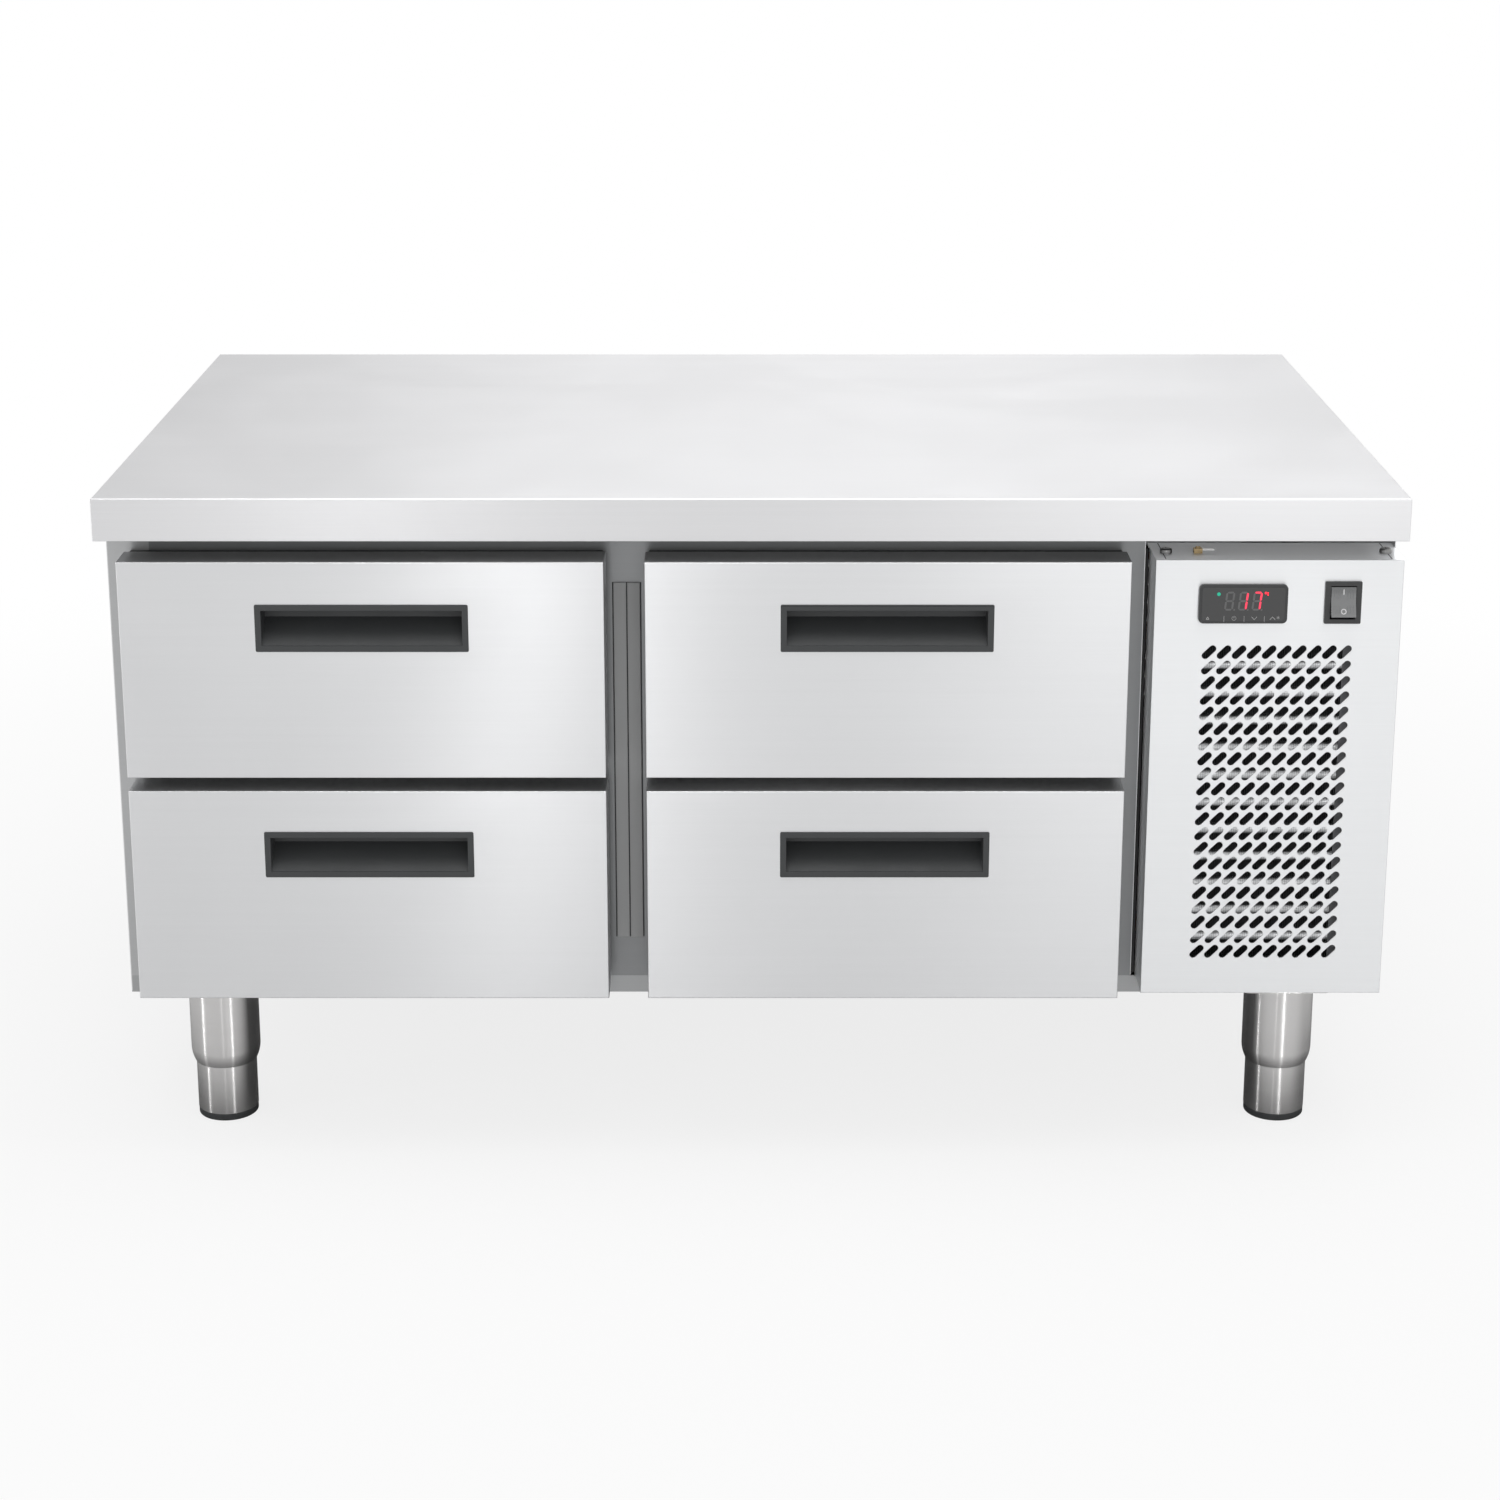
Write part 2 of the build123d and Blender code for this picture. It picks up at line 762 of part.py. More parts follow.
# The two pipes through the right-hand wall of the cold room: Y, Z and radius
wall_pipes = [
    (evaporator_row_front, evaporator_tubes[-1], liquid_radius),
    (evaporator_row_rear, evaporator_tubes[0], suction_radius),
]


def evaporator_coil():
    """The evaporator, with two stubs that leave the housing on the right."""
    x0 = room_middle - evaporator_width / 2
    shape = coil(x0, evaporator_right, evaporator_front, evaporator_rear, evaporator_floor,
                 evaporator_roof, evaporator_pitch)
    middle_y = (evaporator_front + evaporator_rear) / 2
    half_turn = Pos(room_middle, middle_y, 0) * Rot(0, 0, 180) * Pos(-room_middle, -middle_y, 0)
    shape = half_turn * shape
    for y, z, _ in wall_pipes:
        shape += rod_x(evaporator_right + tube_stub, pipe_joint_x, y, z, tube_radius)
    for x in (x0, evaporator_right - coil_plate):
        shape += block(x, x + coil_plate, evaporator_front, room_back, evaporator_floor,
                       evaporator_roof)
    return shape


def evaporator_housing():
    """A sheet cover over the evaporator, open at the back, with inlet slots and a fan hole."""
    cover = block(housing_left, housing_right, housing_front, room_back, housing_floor,
                  housing_roof)
    cover -= block(housing_left + housing_sheet, housing_right - housing_sheet,
                   housing_front + housing_sheet, room_back + overrun,
                   housing_floor + housing_sheet, housing_roof - housing_sheet)
    cover -= rod_y(housing_front - overrun, housing_front + overrun, room_middle, small_fan_z,
                   small_fan_bore_radius)
    for row in range(housing_inlet_rows):
        z = evaporator_floor + housing_inlet_pitch * row
        cover -= block(room_middle - housing_inlet_width / 2,
                       room_middle + housing_inlet_width / 2, housing_front - overrun,
                       housing_front + overrun, z, z + housing_inlet_height)
    for y, z, _ in wall_pipes:
        cover -= pipe_hole(housing_right - housing_sheet, housing_right, y, z, tube_radius)
    return cover


def evaporator_fan_frame():
    """The fan's square frame, with the stator and shaft held by four struts at its rear."""
    half = small_fan_size / 2
    rear = small_fan_front + small_fan_depth
    x = room_middle
    z = small_fan_z
    frame = block(x - half, x + half, small_fan_front, rear, z - half, z + half)
    frame = fillet(frame.edges().filter_by(Axis.Y), small_fan_corner_radius)
    frame -= rod_y(small_fan_front - overrun, rear + overrun, x, z, small_fan_bore_radius)
    seat = rear - small_fan_stator
    strut = small_fan_strut / 2
    reach = small_fan_bore_radius + small_fan_strut_overlap
    frame += block(x - reach, x + reach, seat, rear, z - strut, z + strut)
    frame += block(x - strut, x + strut, seat, rear, z - reach, z + reach)
    frame += rod_y(seat, rear, x, z, small_fan_hub_radius)
    frame += rod_y(small_fan_rotor_front, seat, x, z, small_fan_shaft_radius)
    return frame


small_fan_rotor_front = (small_fan_front + small_fan_depth - small_fan_stator
                         - small_fan_hub_depth - fan_bracket_gap)


def evaporator_fan():
    """The rotor of the evaporator fan."""
    return fan_rotor(room_middle, small_fan_z, small_fan_rotor_front, small_fan_hub_radius,
                     small_fan_hub_depth, small_fan_tip_radius, small_fan_chord,
                     small_fan_blades, small_fan_shaft_radius + running_clearance)


# Condensing unit

condenser_left = unit_left + condenser_left_gap
condenser_right = unit_right - condenser_right_gap
condenser_middle = (condenser_left + condenser_right) / 2
condenser_front = panel_face + condenser_front_gap
condenser_rear = condenser_front + condenser_depth
condenser_floor = unit_floor + coil_plate_rim
condenser_roof = panel_top - condenser_top_gap
condenser_tubes = tube_levels(condenser_floor, condenser_roof, condenser_pitch)
condenser_row = tube_rows(condenser_front, condenser_rear)[1]
condenser_joint_x = condenser_left - tube_stub - tube_radius - coil_port
shroud_rear = condenser_rear + shroud_depth
fan_z = (condenser_floor + condenser_roof) / 2
fan_front = shroud_rear + fan_shroud_gap
fan_bracket_front = fan_front + fan_hub_depth + fan_bracket_gap
tray_back = body_back - unit_tray_rear_gap


def unit_tray():
    """The plate that carries the condensing unit, on two feet folded down along its sides."""
    plate = block(unit_left, unit_right, panel_face + unit_tray_front_gap, tray_back,
                  unit_floor - unit_tray_sheet, unit_floor)
    heel = body_front + base_sheet + unit_tray_sheet
    for x in (unit_left, unit_right - unit_tray_sheet):
        plate += block(x, x + unit_tray_sheet, heel, tray_back, base_top, unit_floor)
    return plate


def condenser_coil():
    """The condenser: a fin pack between two end plates that stand on the tray."""
    shape = coil(condenser_left, condenser_right, condenser_front, condenser_rear,
                 condenser_floor, condenser_roof, condenser_pitch)
    for x in (condenser_left, condenser_right - coil_plate):
        shape += block(x, x + coil_plate, condenser_front, condenser_rear, unit_floor,
                       condenser_roof + coil_plate_rim)
    for z in (condenser_tubes[0], condenser_tubes[-1]):
        shape += rod_x(condenser_joint_x, condenser_left - tube_stub, condenser_row, z,
                       tube_radius)
    return shape


def condenser_shroud():
    """The duct from the condenser to the fan, with a round collar about the blades."""
    radius = fan_tip_radius + fan_tip_clearance
    x0 = condenser_left - shroud_side_margin
    x1 = condenser_right + shroud_side_margin
    duct = block(x0, x1, condenser_rear, shroud_rear, condenser_floor, condenser_roof)
    duct += rod_y(shroud_rear - shroud_sheet, shroud_rear + shroud_collar, condenser_middle,
                  fan_z, radius + shroud_sheet)
    duct -= block(x0 + shroud_sheet, x1 - shroud_sheet, condenser_rear + shroud_sheet,
                  shroud_rear - shroud_sheet, condenser_floor + shroud_sheet,
                  condenser_roof - shroud_sheet)
    duct -= block(condenser_left + shroud_rim, condenser_right - shroud_rim,
                  condenser_rear - overrun, shroud_rear - shroud_sheet,
                  condenser_floor + shroud_rim, condenser_roof - shroud_rim)
    duct -= rod_y(shroud_rear - overrun, shroud_rear + shroud_collar + overrun,
                  condenser_middle, fan_z, radius)
    return duct


def condenser_fan():
    """The rotor of the condenser fan."""
    return fan_rotor(condenser_middle, fan_z, fan_front, fan_hub_radius, fan_hub_depth,
                     fan_tip_radius, fan_chord, fan_blades,
                     fan_shaft_radius + running_clearance)


def condenser_fan_motor():
    """The fan motor on a bent strap, which is fixed to the shroud above and below the fan."""
    strap_rear = fan_bracket_front + fan_bracket_sheet
    half = fan_bracket_width / 2
    reach = fan_tip_radius + fan_tip_clearance + shroud_collar
    x = condenser_middle
    motor = rod_y(strap_rear, strap_rear + fan_motor_length, x, fan_z, fan_motor_radius)
    motor = fillet(edges_near(motor, Axis.Y, strap_rear + fan_motor_length),
                   fan_motor_edge_radius)
    motor += block(x - half, x + half, fan_bracket_front, strap_rear, fan_z - reach,
                   fan_z + reach)
    for z in (fan_z - reach, fan_z + reach - fan_bracket_sheet):
        motor += block(x - half, x + half, shroud_rear, strap_rear, z, z + fan_bracket_sheet)
    motor += rod_y(fan_front, fan_bracket_front, x, fan_z, fan_shaft_radius)
    return motor


fan_motor_rear = fan_bracket_front + fan_bracket_sheet + fan_motor_length
compressor_y = (fan_motor_rear + body_back) / 2 - compressor_offset
compressor_floor = unit_floor + grommet_height
compressor_top = compressor_floor + compressor_height
discharge_x = unit_middle - compressor_radius * discharge_share
discharge_z = compressor_top + compressor_stub
suction_y = compressor_y + compressor_radius + compressor_stub


def compressor():
    """The hermetic compressor on its foot plate, and four grommets under it."""
    x = unit_middle
    shell = rod_z(compressor_floor, compressor_top, x, compressor_y, compressor_radius)
    shell = fillet(edges_near(shell, Axis.Z, compressor_top), compressor_dome_radius)
    half_w = compressor_foot_width / 2
    half_l = compressor_foot_length / 2
    plate = block(x - half_w, x + half_w, compressor_y - half_l, compressor_y + half_l,
                  compressor_floor, compressor_floor + compressor_foot_thickness)
    plate = fillet(plate.edges().filter_by(Axis.Z), compressor_foot_radius)
    cover_x = x + compressor_radius - compressor_cover_depth / 2
    cover_z = (compressor_floor + compressor_top) / 2
    cover = block(cover_x, cover_x + compressor_cover_depth,
                  compressor_y - compressor_cover_width / 2,
                  compressor_y + compressor_cover_width / 2,
                  cover_z - compressor_cover_height / 2, cover_z + compressor_cover_height / 2)
    shell += plate + cover
    shell += rod_z(cover_z, discharge_z, discharge_x, compressor_y, discharge_radius)
    shell += rod_y(compressor_y, suction_y, x, wall_pipes[1][1], suction_radius)
    grommets = []
    for side_x in (-1, 1):
        for side_y in (-1, 1):
            grommets.append(rod_z(unit_floor, compressor_floor,
                                  x + side_x * (half_w - grommet_inset),
                                  compressor_y + side_y * (half_l - grommet_inset),
                                  grommet_radius))
    return [shell] + grommets


drier_x = unit_left + drier_from_wall
drier_y = compressor_y + compressor_radius + drier_behind_compressor
drier_floor = condenser_tubes[0] + pipe_riser
drier_length = (wall_pipes[0][1] - condenser_tubes[0]) * drier_share
drier_cone = drier_length * drier_cone_share
drier_roof = drier_floor + drier_length


def pipe(radius, *points):
    """A round pipe along straight runs with equal bends."""
    path = FilletPolyline(*points, radius=pipe_bend_radius)
    return sweep(Plane(path @ 0, z_dir=path % 0) * Circle(radius), path=path)


def refrigerant_pipes():
    """The discharge, liquid, capillary and suction pipes."""
    row_y = condenser_row
    top_z = condenser_tubes[-1]
    low_z = condenser_tubes[0]
    bypass_x = tech_left + pipe_wall_gap
    discharge = pipe(discharge_radius, (discharge_x, compressor_y, discharge_z),
                     (discharge_x, compressor_y, top_z), (bypass_x, compressor_y, top_z),
                     (bypass_x, row_y, top_z),
                     (condenser_joint_x, row_y, top_z))
    liquid = pipe(liquid_radius, (condenser_joint_x, row_y, low_z), (bypass_x, row_y, low_z),
                  (bypass_x, drier_y, low_z), (drier_x, drier_y, low_z),
                  (drier_x, drier_y, drier_floor))
    liquid_y, liquid_z, liquid_r = wall_pipes[0]
    capillary = pipe(liquid_r, (drier_x, drier_y, drier_roof),
                     (drier_x, drier_y, liquid_z), (drier_x, liquid_y, liquid_z),
                     (pipe_joint_x, liquid_y, liquid_z))
    gas_y, gas_z, gas_r = wall_pipes[1]
    suction = pipe(gas_r, (pipe_joint_x, gas_y, gas_z), (unit_middle, gas_y, gas_z),
                   (unit_middle, suction_y, gas_z))
    return discharge, liquid, capillary, suction


def filter_drier():
    """The filter drier: a short cylinder with tapered ends."""
    outline = [(0, drier_floor), (liquid_radius, drier_floor),
               (drier_radius, drier_floor + drier_cone),
               (drier_radius, drier_roof - drier_cone), (liquid_radius, drier_roof),
               (0, drier_roof)]
    face = make_face(Polyline(*[(r, 0, z) for r, z in outline], close=True))
    return Pos(drier_x, drier_y, 0) * revolve(face, Axis.Z)


# Panels of the technical compartment

grille_left = panel_left + grille_left_margin
grille_bottom = panel_bottom + grille_bottom_margin
slot_columns = int((panel_right - grille_right_margin - grille_left) / slot_pitch_x) + 1
slot_rows = int((panel_top - grille_top_margin - grille_bottom) / slot_pitch_z) + 1
louvre_rows = int((worktop_bottom - base_top - louvre_margin * 2) / louvre_pitch) + 1
controller_x0 = panel_left + controller_from_left
controller_x = controller_x0 + controller_width / 2
controller_z = panel_top - controller_from_top - controller_height / 2
switch_x = panel_right - switch_from_right - switch_width / 2
switch_z = panel_top - switch_from_top - switch_height / 2


def front_plate(x0, x1, z0, z1, y0, y1, radius):
    """An upright plate with rounded corners."""
    plate = block(x0, x1, y0, y1, z0, z1)
    return fillet(plate.edges().filter_by(Axis.Y), radius)


def panel_slots():
    """The slanted slots of the air grille, as one set of cutting bodies."""
    slot = SlotOverall(slot_length, slot_width, rotation=slot_angle)
    places = []
    for row in range(slot_rows):
        for column in range(slot_columns):
            places.append(Pos(grille_left + slot_pitch_x * column,
                              grille_bottom + slot_pitch_z * row))
    sketch = Sketch() + [place * slot for place in places]
    upright = Plane(origin=(0, panel_face + panel_sheet, 0), x_dir=(1, 0, 0), z_dir=(0, -1, 0))
    return extrude(upright * sketch, amount=panel_sheet + overrun)


def control_panel():
    """The folded front panel with its grille and the cutouts for controller and switch."""
    face = panel_face
    panel = block(panel_left, panel_right, face, face + panel_top_flange, panel_bottom, panel_top)
    panel = fillet(edges_near(panel, Axis.Y, face), panel_edge_radius)
    panel -= block(panel_left + panel_sheet, panel_right - panel_sheet, face + panel_sheet,
                   face + panel_top_flange + overrun, panel_bottom + panel_sheet,
                   panel_top - panel_sheet)
    panel -= block(panel_left - overrun, panel_right + overrun, face + panel_side_flange,
                   face + panel_top_flange + overrun, panel_bottom - overrun,
                   panel_top - panel_sheet)
    panel -= block(panel_left + panel_sheet, panel_right - panel_sheet,
                   face + panel_bottom_flange, face + panel_top_flange + overrun,
                   panel_bottom - overrun, panel_bottom + panel_sheet)
    half_w = controller_case_width / 2 + controller_cutout_clearance
    half_h = controller_case_height / 2 + controller_cutout_clearance
    panel -= block(controller_x - half_w, controller_x + half_w, face - overrun, face + overrun,
                   controller_z - half_h, controller_z + half_h)
    half_w = switch_window_width / 2 + switch_body_wall + controller_cutout_clearance
    half_h = switch_window_height / 2 + switch_body_wall + controller_cutout_clearance
    panel -= block(switch_x - half_w, switch_x + half_w, face - overrun, face + overrun,
                   switch_z - half_h, switch_z + half_h)
    for x in panel_screw_places:
        panel -= rod_z(panel_top - overrun, panel_top + overrun, x, panel_screw_y,
                       panel_screw_shank_radius + running_clearance)
    return panel - panel_slots()


panel_screw_places = (panel_left + panel_screw_side_inset, panel_right - panel_screw_side_inset)
panel_screw_y = panel_face + panel_screw_from_front


def panel_screws():
    """Two screws with crossed slots, and the earth terminal with its tongue."""
    pieces = []
    head_top = panel_top + panel_screw_head_height
    slot_floor = head_top - panel_screw_slot_depth
    long = panel_screw_slot_length / 2
    thin = panel_screw_slot_width / 2
    for x in panel_screw_places:
        y = panel_screw_y
        head = rod_z(panel_top, head_top, x, y, panel_screw_head_radius)
        head = fillet(edges_near(head, Axis.Z, head_top), panel_screw_dome_radius)
        head += rod_z(panel_top - panel_screw_shank_length, panel_top, x, y,
                      panel_screw_shank_radius)
        head -= block(x - long, x + long, y - thin, y + thin, slot_floor, head_top + overrun)
        head -= block(x - thin, x + thin, y - long, y + long, slot_floor, head_top + overrun)
        pieces.append(head)
    x0 = panel_left + terminal_from_left
    y0 = panel_screw_y - terminal_depth / 2
    pieces.append(block(x0, x0 + terminal_width, y0, y0 + terminal_depth, panel_top,
                        panel_top + terminal_height))
    middle = panel_top + terminal_height / 2
    half = terminal_tongue_thickness / 2
    pieces.append(block(x0 + terminal_width, x0 + terminal_width + terminal_tongue_length, y0,
                        y0 + terminal_depth, middle - half, middle + half))
    return pieces


def technical_side_panel():
    """The right-hand side sheet."""
    return block(right - side_panel_sheet, right, body_front, body_back, base_top,
                 worktop_bottom)


def technical_back_panel():
    """The rear sheet with its air slots and the hole of the cable gland."""
    inner = body_back - side_panel_sheet
    panel = block(tech_left, right - side_panel_sheet, inner, body_back, base_top, worktop_bottom)
    middle_x = (tech_left + right) / 2
    start = (base_top + worktop_bottom - louvre_pitch * (louvre_rows - 1)) / 2
    slot = SlotOverall(louvre_length, louvre_width)
    places = [Pos(middle_x, start + louvre_pitch * row) for row in range(louvre_rows)]
    sketch = Sketch() + [place * slot for place in places]
    upright = Plane(origin=(0, body_back + overrun, 0), x_dir=(1, 0, 0), z_dir=(0, -1, 0))
    panel -= extrude(upright * sketch, amount=side_panel_sheet + overrun * 2)
    panel -= rod_y(inner - overrun, body_back + overrun, right - gland_from_right,
                   body_bottom + gland_from_bottom, gland_thread_radius + gland_clearance)
    return panel


def cable_gland():
    """The gland: a domed cap outside, a thread through the sheet and a nut inside."""
    x = right - gland_from_right
    z = body_bottom + gland_from_bottom
    inner = body_back - side_panel_sheet
    cap_end = body_back + gland_cap_length
    cap = rod_y(body_back, cap_end, x, z, gland_cap_radius)
    cap = fillet(edges_near(cap, Axis.Y, cap_end), gland_cap_edge_radius)
    nut = extrude(RegularPolygon(gland_nut_radius, 6), amount=gland_nut_thickness)
    nut = Pos(x, inner - gland_nut_thickness, z) * Rot(-90, 0, 0) * nut
    gland = cap + nut + rod_y(inner, body_back, x, z, gland_thread_radius)
    return gland - rod_y(cap_end - gland_bore_depth, cap_end + overrun, x, z, gland_bore_radius)


# Controller and switch

def controller_case():
    """The controller's front bezel, recessed for its window, with the case behind the panel."""
    half_w = controller_width / 2
    half_h = controller_height / 2
    lip_face = panel_face - controller_lip
    case = front_plate(controller_x - half_w, controller_x + half_w, controller_z - half_h,
                       controller_z + half_h, lip_face, panel_face, controller_corner_radius)
    case += block(controller_x - controller_case_width / 2,
                  controller_x + controller_case_width / 2, panel_face,
                  panel_face + controller_case_depth,
                  controller_z - controller_case_height / 2,
                  controller_z + controller_case_height / 2)
    half_w -= window_margin
    half_h -= window_margin
    case -= front_plate(controller_x - half_w, controller_x + half_w, controller_z - half_h,
                        controller_z + half_h, lip_face - overrun, lip_face + window_thickness,
                        controller_corner_radius - window_margin)
    return case


def controller_window():
    """The clear window over the display and the touch keys."""
    half_w = controller_width / 2 - window_margin
    half_h = controller_height / 2 - window_margin
    lip_face = panel_face - controller_lip
    return front_plate(controller_x - half_w, controller_x + half_w, controller_z - half_h,
                       controller_z + half_h, lip_face, lip_face + window_thickness,
                       controller_corner_radius - window_margin)


pivot_y = panel_face - switch_lip + rocker_pivot_depth


def switch_housing():
    """The switch's rim and its open body, with two bearings for the rocker."""
    lip_face = panel_face - switch_lip
    housing = front_plate(switch_x - switch_width / 2, switch_x + switch_width / 2,
                          switch_z - switch_height / 2, switch_z + switch_height / 2, lip_face,
                          panel_face, switch_corner_radius)
    half_w = switch_window_width / 2
    half_h = switch_window_height / 2
    wall = switch_body_wall
    rear = panel_face + switch_body_depth
    housing += block(switch_x - half_w - wall, switch_x + half_w + wall, panel_face, rear,
                     switch_z - half_h - wall, switch_z + half_h + wall)
    housing -= block(switch_x - half_w, switch_x + half_w, lip_face - overrun, rear - wall,
                     switch_z - half_h, switch_z + half_h)
    reach = half_w + trunnion_length + running_clearance
    housing -= rod_x(switch_x - reach, switch_x + reach, pivot_y, switch_z,
                     trunnion_radius + running_clearance)
    return housing


def switch_rocker():
    """The rocker, with its upper half pressed in, on two trunnions."""
    half = switch_window_width / 2 - rocker_side_clearance
    outline = [(-rocker_end_rise, rocker_half_height), (-rocker_middle_rise, 0),
               (-rocker_end_rise, -rocker_half_height), (rocker_back, -rocker_back_half_height),
               (rocker_back, rocker_back_half_height)]
    rocker = side_profile(outline, -half, half)
    reach = half + rocker_side_clearance + trunnion_length - running_clearance
    rocker += rod_x(-reach, reach, 0, 0, trunnion_radius)
    return Pos(switch_x, pivot_y, switch_z) * Rot(-rocker_rest_angle, 0, 0) * rocker


# Legs

leg_places = {
    "front_left": (left + leg_side_inset, front + leg_front_inset),
    "front_right": (right - leg_side_inset, front + leg_front_inset),
    "rear_left": (left + leg_side_inset, back - leg_front_inset),
    "rear_right": (right - leg_side_inset, back - leg_front_inset),
}


def leg_tube(x, y):
    """A leg: flange, tube with a drawn-in lower end, and the stud that the foot runs on."""
    half = leg_flange_size / 2
    flange_bottom = body_bottom - leg_flange_thickness
    flange = block(x - half, x + half, y - half, y + half, flange_bottom, body_bottom)
    flange = fillet(flange.edges().filter_by(Axis.Z), leg_flange_corner_radius)
    neck = foot_radius + foot_clearance
    shoulder_top = leg_shoulder_bottom + leg_shoulder_height
    inner = leg_radius - leg_wall
    outline = [(neck, leg_shoulder_bottom), (neck + leg_wall, leg_shoulder_bottom),
               (leg_radius, shoulder_top), (leg_radius, flange_bottom), (inner, flange_bottom),
               (inner, shoulder_top + leg_wall), (neck, leg_shoulder_bottom + leg_wall * 2)]
    face = make_face(Polyline(*[(r, 0, z) for r, z in outline], close=True))
    tube = Pos(x, y, 0) * revolve(face, Axis.Z)
    return flange + tube + rod_z(leg_stud_end, flange_bottom, x, y, leg_stud_radius)


def foot(x, y):
    """The sleeve of an adjustable foot and the plastic pad in its lower end."""
    inner = foot_radius - foot_wall
    sleeve = rod_z(pad_height, foot_top, x, y, foot_radius)
    sleeve -= rod_z(pad_height - overrun, foot_top - foot_top_plate, x, y, inner)
    sleeve -= rod_z(pad_height, foot_top + overrun, x, y, leg_stud_radius + running_clearance)
    pad = rod_z(0, pad_height, x, y, foot_radius - pad_rim)
    pad = fillet(edges_near(pad, Axis.Z, 0), pad_edge_radius)
    pad += rod_z(pad_height, pad_height + pad_plug_height, x, y, inner)
    return sleeve, pad


os.makedirs("parts", exist_ok=True)

save("worktop_skin", worktop_skin())
save("worktop_board", worktop_core())
save("outer_casing", *outer_casing())
save("base_panel", base_panel())
save("insulation", insulation())
save("inner_liner", *inner_liner())
save("front_frame", *front_frame())
save("mullion_cover", mullion_cover())
save("centre_posts", *centre_posts())

outer_rails = []
for level_name in levels:
    for bay_name in bay_centres:
        outer_rails.extend(slide_pair(bay_name, level_name, "outer"))
        save_drawer(bay_name, level_name)
save("slide_outer_rails", *outer_rails)

save("evaporator_coil", evaporator_coil())
save("evaporator_housing", evaporator_housing())
save("evaporator_fan_frame", evaporator_fan_frame())
save("evaporator_fan", evaporator_fan())

save("unit_tray", unit_tray())
save("condenser_coil", condenser_coil())
save("condenser_shroud", condenser_shroud())
save("condenser_fan", condenser_fan())
save("condenser_fan_motor", condenser_fan_motor())
save("compressor", *compressor())
save("refrigerant_pipes", *refrigerant_pipes())
save("filter_drier", filter_drier())

save("control_panel", control_panel())
save("panel_screws", *panel_screws())
save("technical_side_panel", technical_side_panel())
save("technical_back_panel", technical_back_panel())
save("cable_gland", cable_gland())
save("controller_case", controller_case())
save("controller_window", controller_window())
save("switch_housing", switch_housing())
save("switch_rocker", switch_rocker())

save("leg_tubes", *[leg_tube(x, y) for x, y in leg_places.values()])
for place_name, place in leg_places.items():
    save(f"foot_{place_name}", *foot(*place))
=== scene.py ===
# %% [markdown]
# A refrigerated chef base, dressed in Blender
#
# The real object is a low counter of brushed stainless steel: a folded worktop, four cold
# drawers, and a technical compartment with a slotted panel at the right-hand end. Its shapes
# come from a CAD model, which is loaded here as a fixed frame. This file gives each part its
# finish, and adds what a solid can't show: fins, tubes, folds, screws, digits and marks.
# All lengths are in metres.

# %% Load the frame
import json
import math

import bmesh
import bpy
from mathutils import Matrix, Vector

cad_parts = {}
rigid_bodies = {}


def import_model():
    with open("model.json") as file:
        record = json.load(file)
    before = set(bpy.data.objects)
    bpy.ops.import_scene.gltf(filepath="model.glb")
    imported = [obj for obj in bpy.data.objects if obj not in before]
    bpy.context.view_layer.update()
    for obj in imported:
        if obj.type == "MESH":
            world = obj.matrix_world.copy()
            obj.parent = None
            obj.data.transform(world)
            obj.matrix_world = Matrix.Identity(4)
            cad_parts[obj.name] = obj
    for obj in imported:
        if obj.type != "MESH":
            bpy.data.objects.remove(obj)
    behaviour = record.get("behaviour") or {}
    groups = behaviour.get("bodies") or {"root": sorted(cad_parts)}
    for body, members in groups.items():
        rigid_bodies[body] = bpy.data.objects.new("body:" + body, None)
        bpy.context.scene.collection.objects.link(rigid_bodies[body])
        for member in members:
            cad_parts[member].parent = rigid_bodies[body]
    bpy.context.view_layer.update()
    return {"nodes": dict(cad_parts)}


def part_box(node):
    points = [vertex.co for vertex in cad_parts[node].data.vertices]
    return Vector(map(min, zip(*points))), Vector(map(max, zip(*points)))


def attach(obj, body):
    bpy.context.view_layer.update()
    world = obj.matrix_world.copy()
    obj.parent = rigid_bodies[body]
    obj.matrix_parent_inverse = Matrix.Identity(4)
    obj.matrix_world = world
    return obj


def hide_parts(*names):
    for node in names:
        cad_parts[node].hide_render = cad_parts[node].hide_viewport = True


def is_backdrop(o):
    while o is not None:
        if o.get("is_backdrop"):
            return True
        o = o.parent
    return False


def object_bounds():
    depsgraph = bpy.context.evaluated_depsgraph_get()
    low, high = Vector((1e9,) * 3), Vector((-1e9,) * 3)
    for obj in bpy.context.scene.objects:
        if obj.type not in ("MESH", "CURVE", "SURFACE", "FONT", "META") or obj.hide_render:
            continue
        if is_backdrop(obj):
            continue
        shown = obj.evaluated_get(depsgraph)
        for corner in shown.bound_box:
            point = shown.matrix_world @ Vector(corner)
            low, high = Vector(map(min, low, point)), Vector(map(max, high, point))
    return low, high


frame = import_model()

MM = 0.001
nodes = frame["nodes"]
scene = bpy.context.scene

# %% [markdown]
# The camera
#
# The photograph was taken from in front and a little above, with upright edges kept upright,
# which a real camera does by shifting its lens. A large shift would slide the object out of
# the other views, so the camera here tilts down instead and shifts only a little. Its place,
# tilt and lens are the ones that bring the corners nearest to the photograph.

# %% Camera
CAMERA_PLACE = (-0.001, -3.032, 1.293)
CAMERA_TILT = 15.39
CAMERA_LENS = 72.94
SENSOR_WIDTH = 36.0


def add_camera():
    """The camera at the photograph's viewing angle."""
    data = bpy.data.cameras.new("camera")
    data.lens = CAMERA_LENS
    data.sensor_width = SENSOR_WIDTH
    data.shift_y = -0.10
    camera = bpy.data.objects.new("camera", data)
    camera.location = CAMERA_PLACE
    camera.rotation_euler = (math.radians(90 - CAMERA_TILT), 0, 0)
    scene.collection.objects.link(camera)
    scene.camera = camera
    return camera


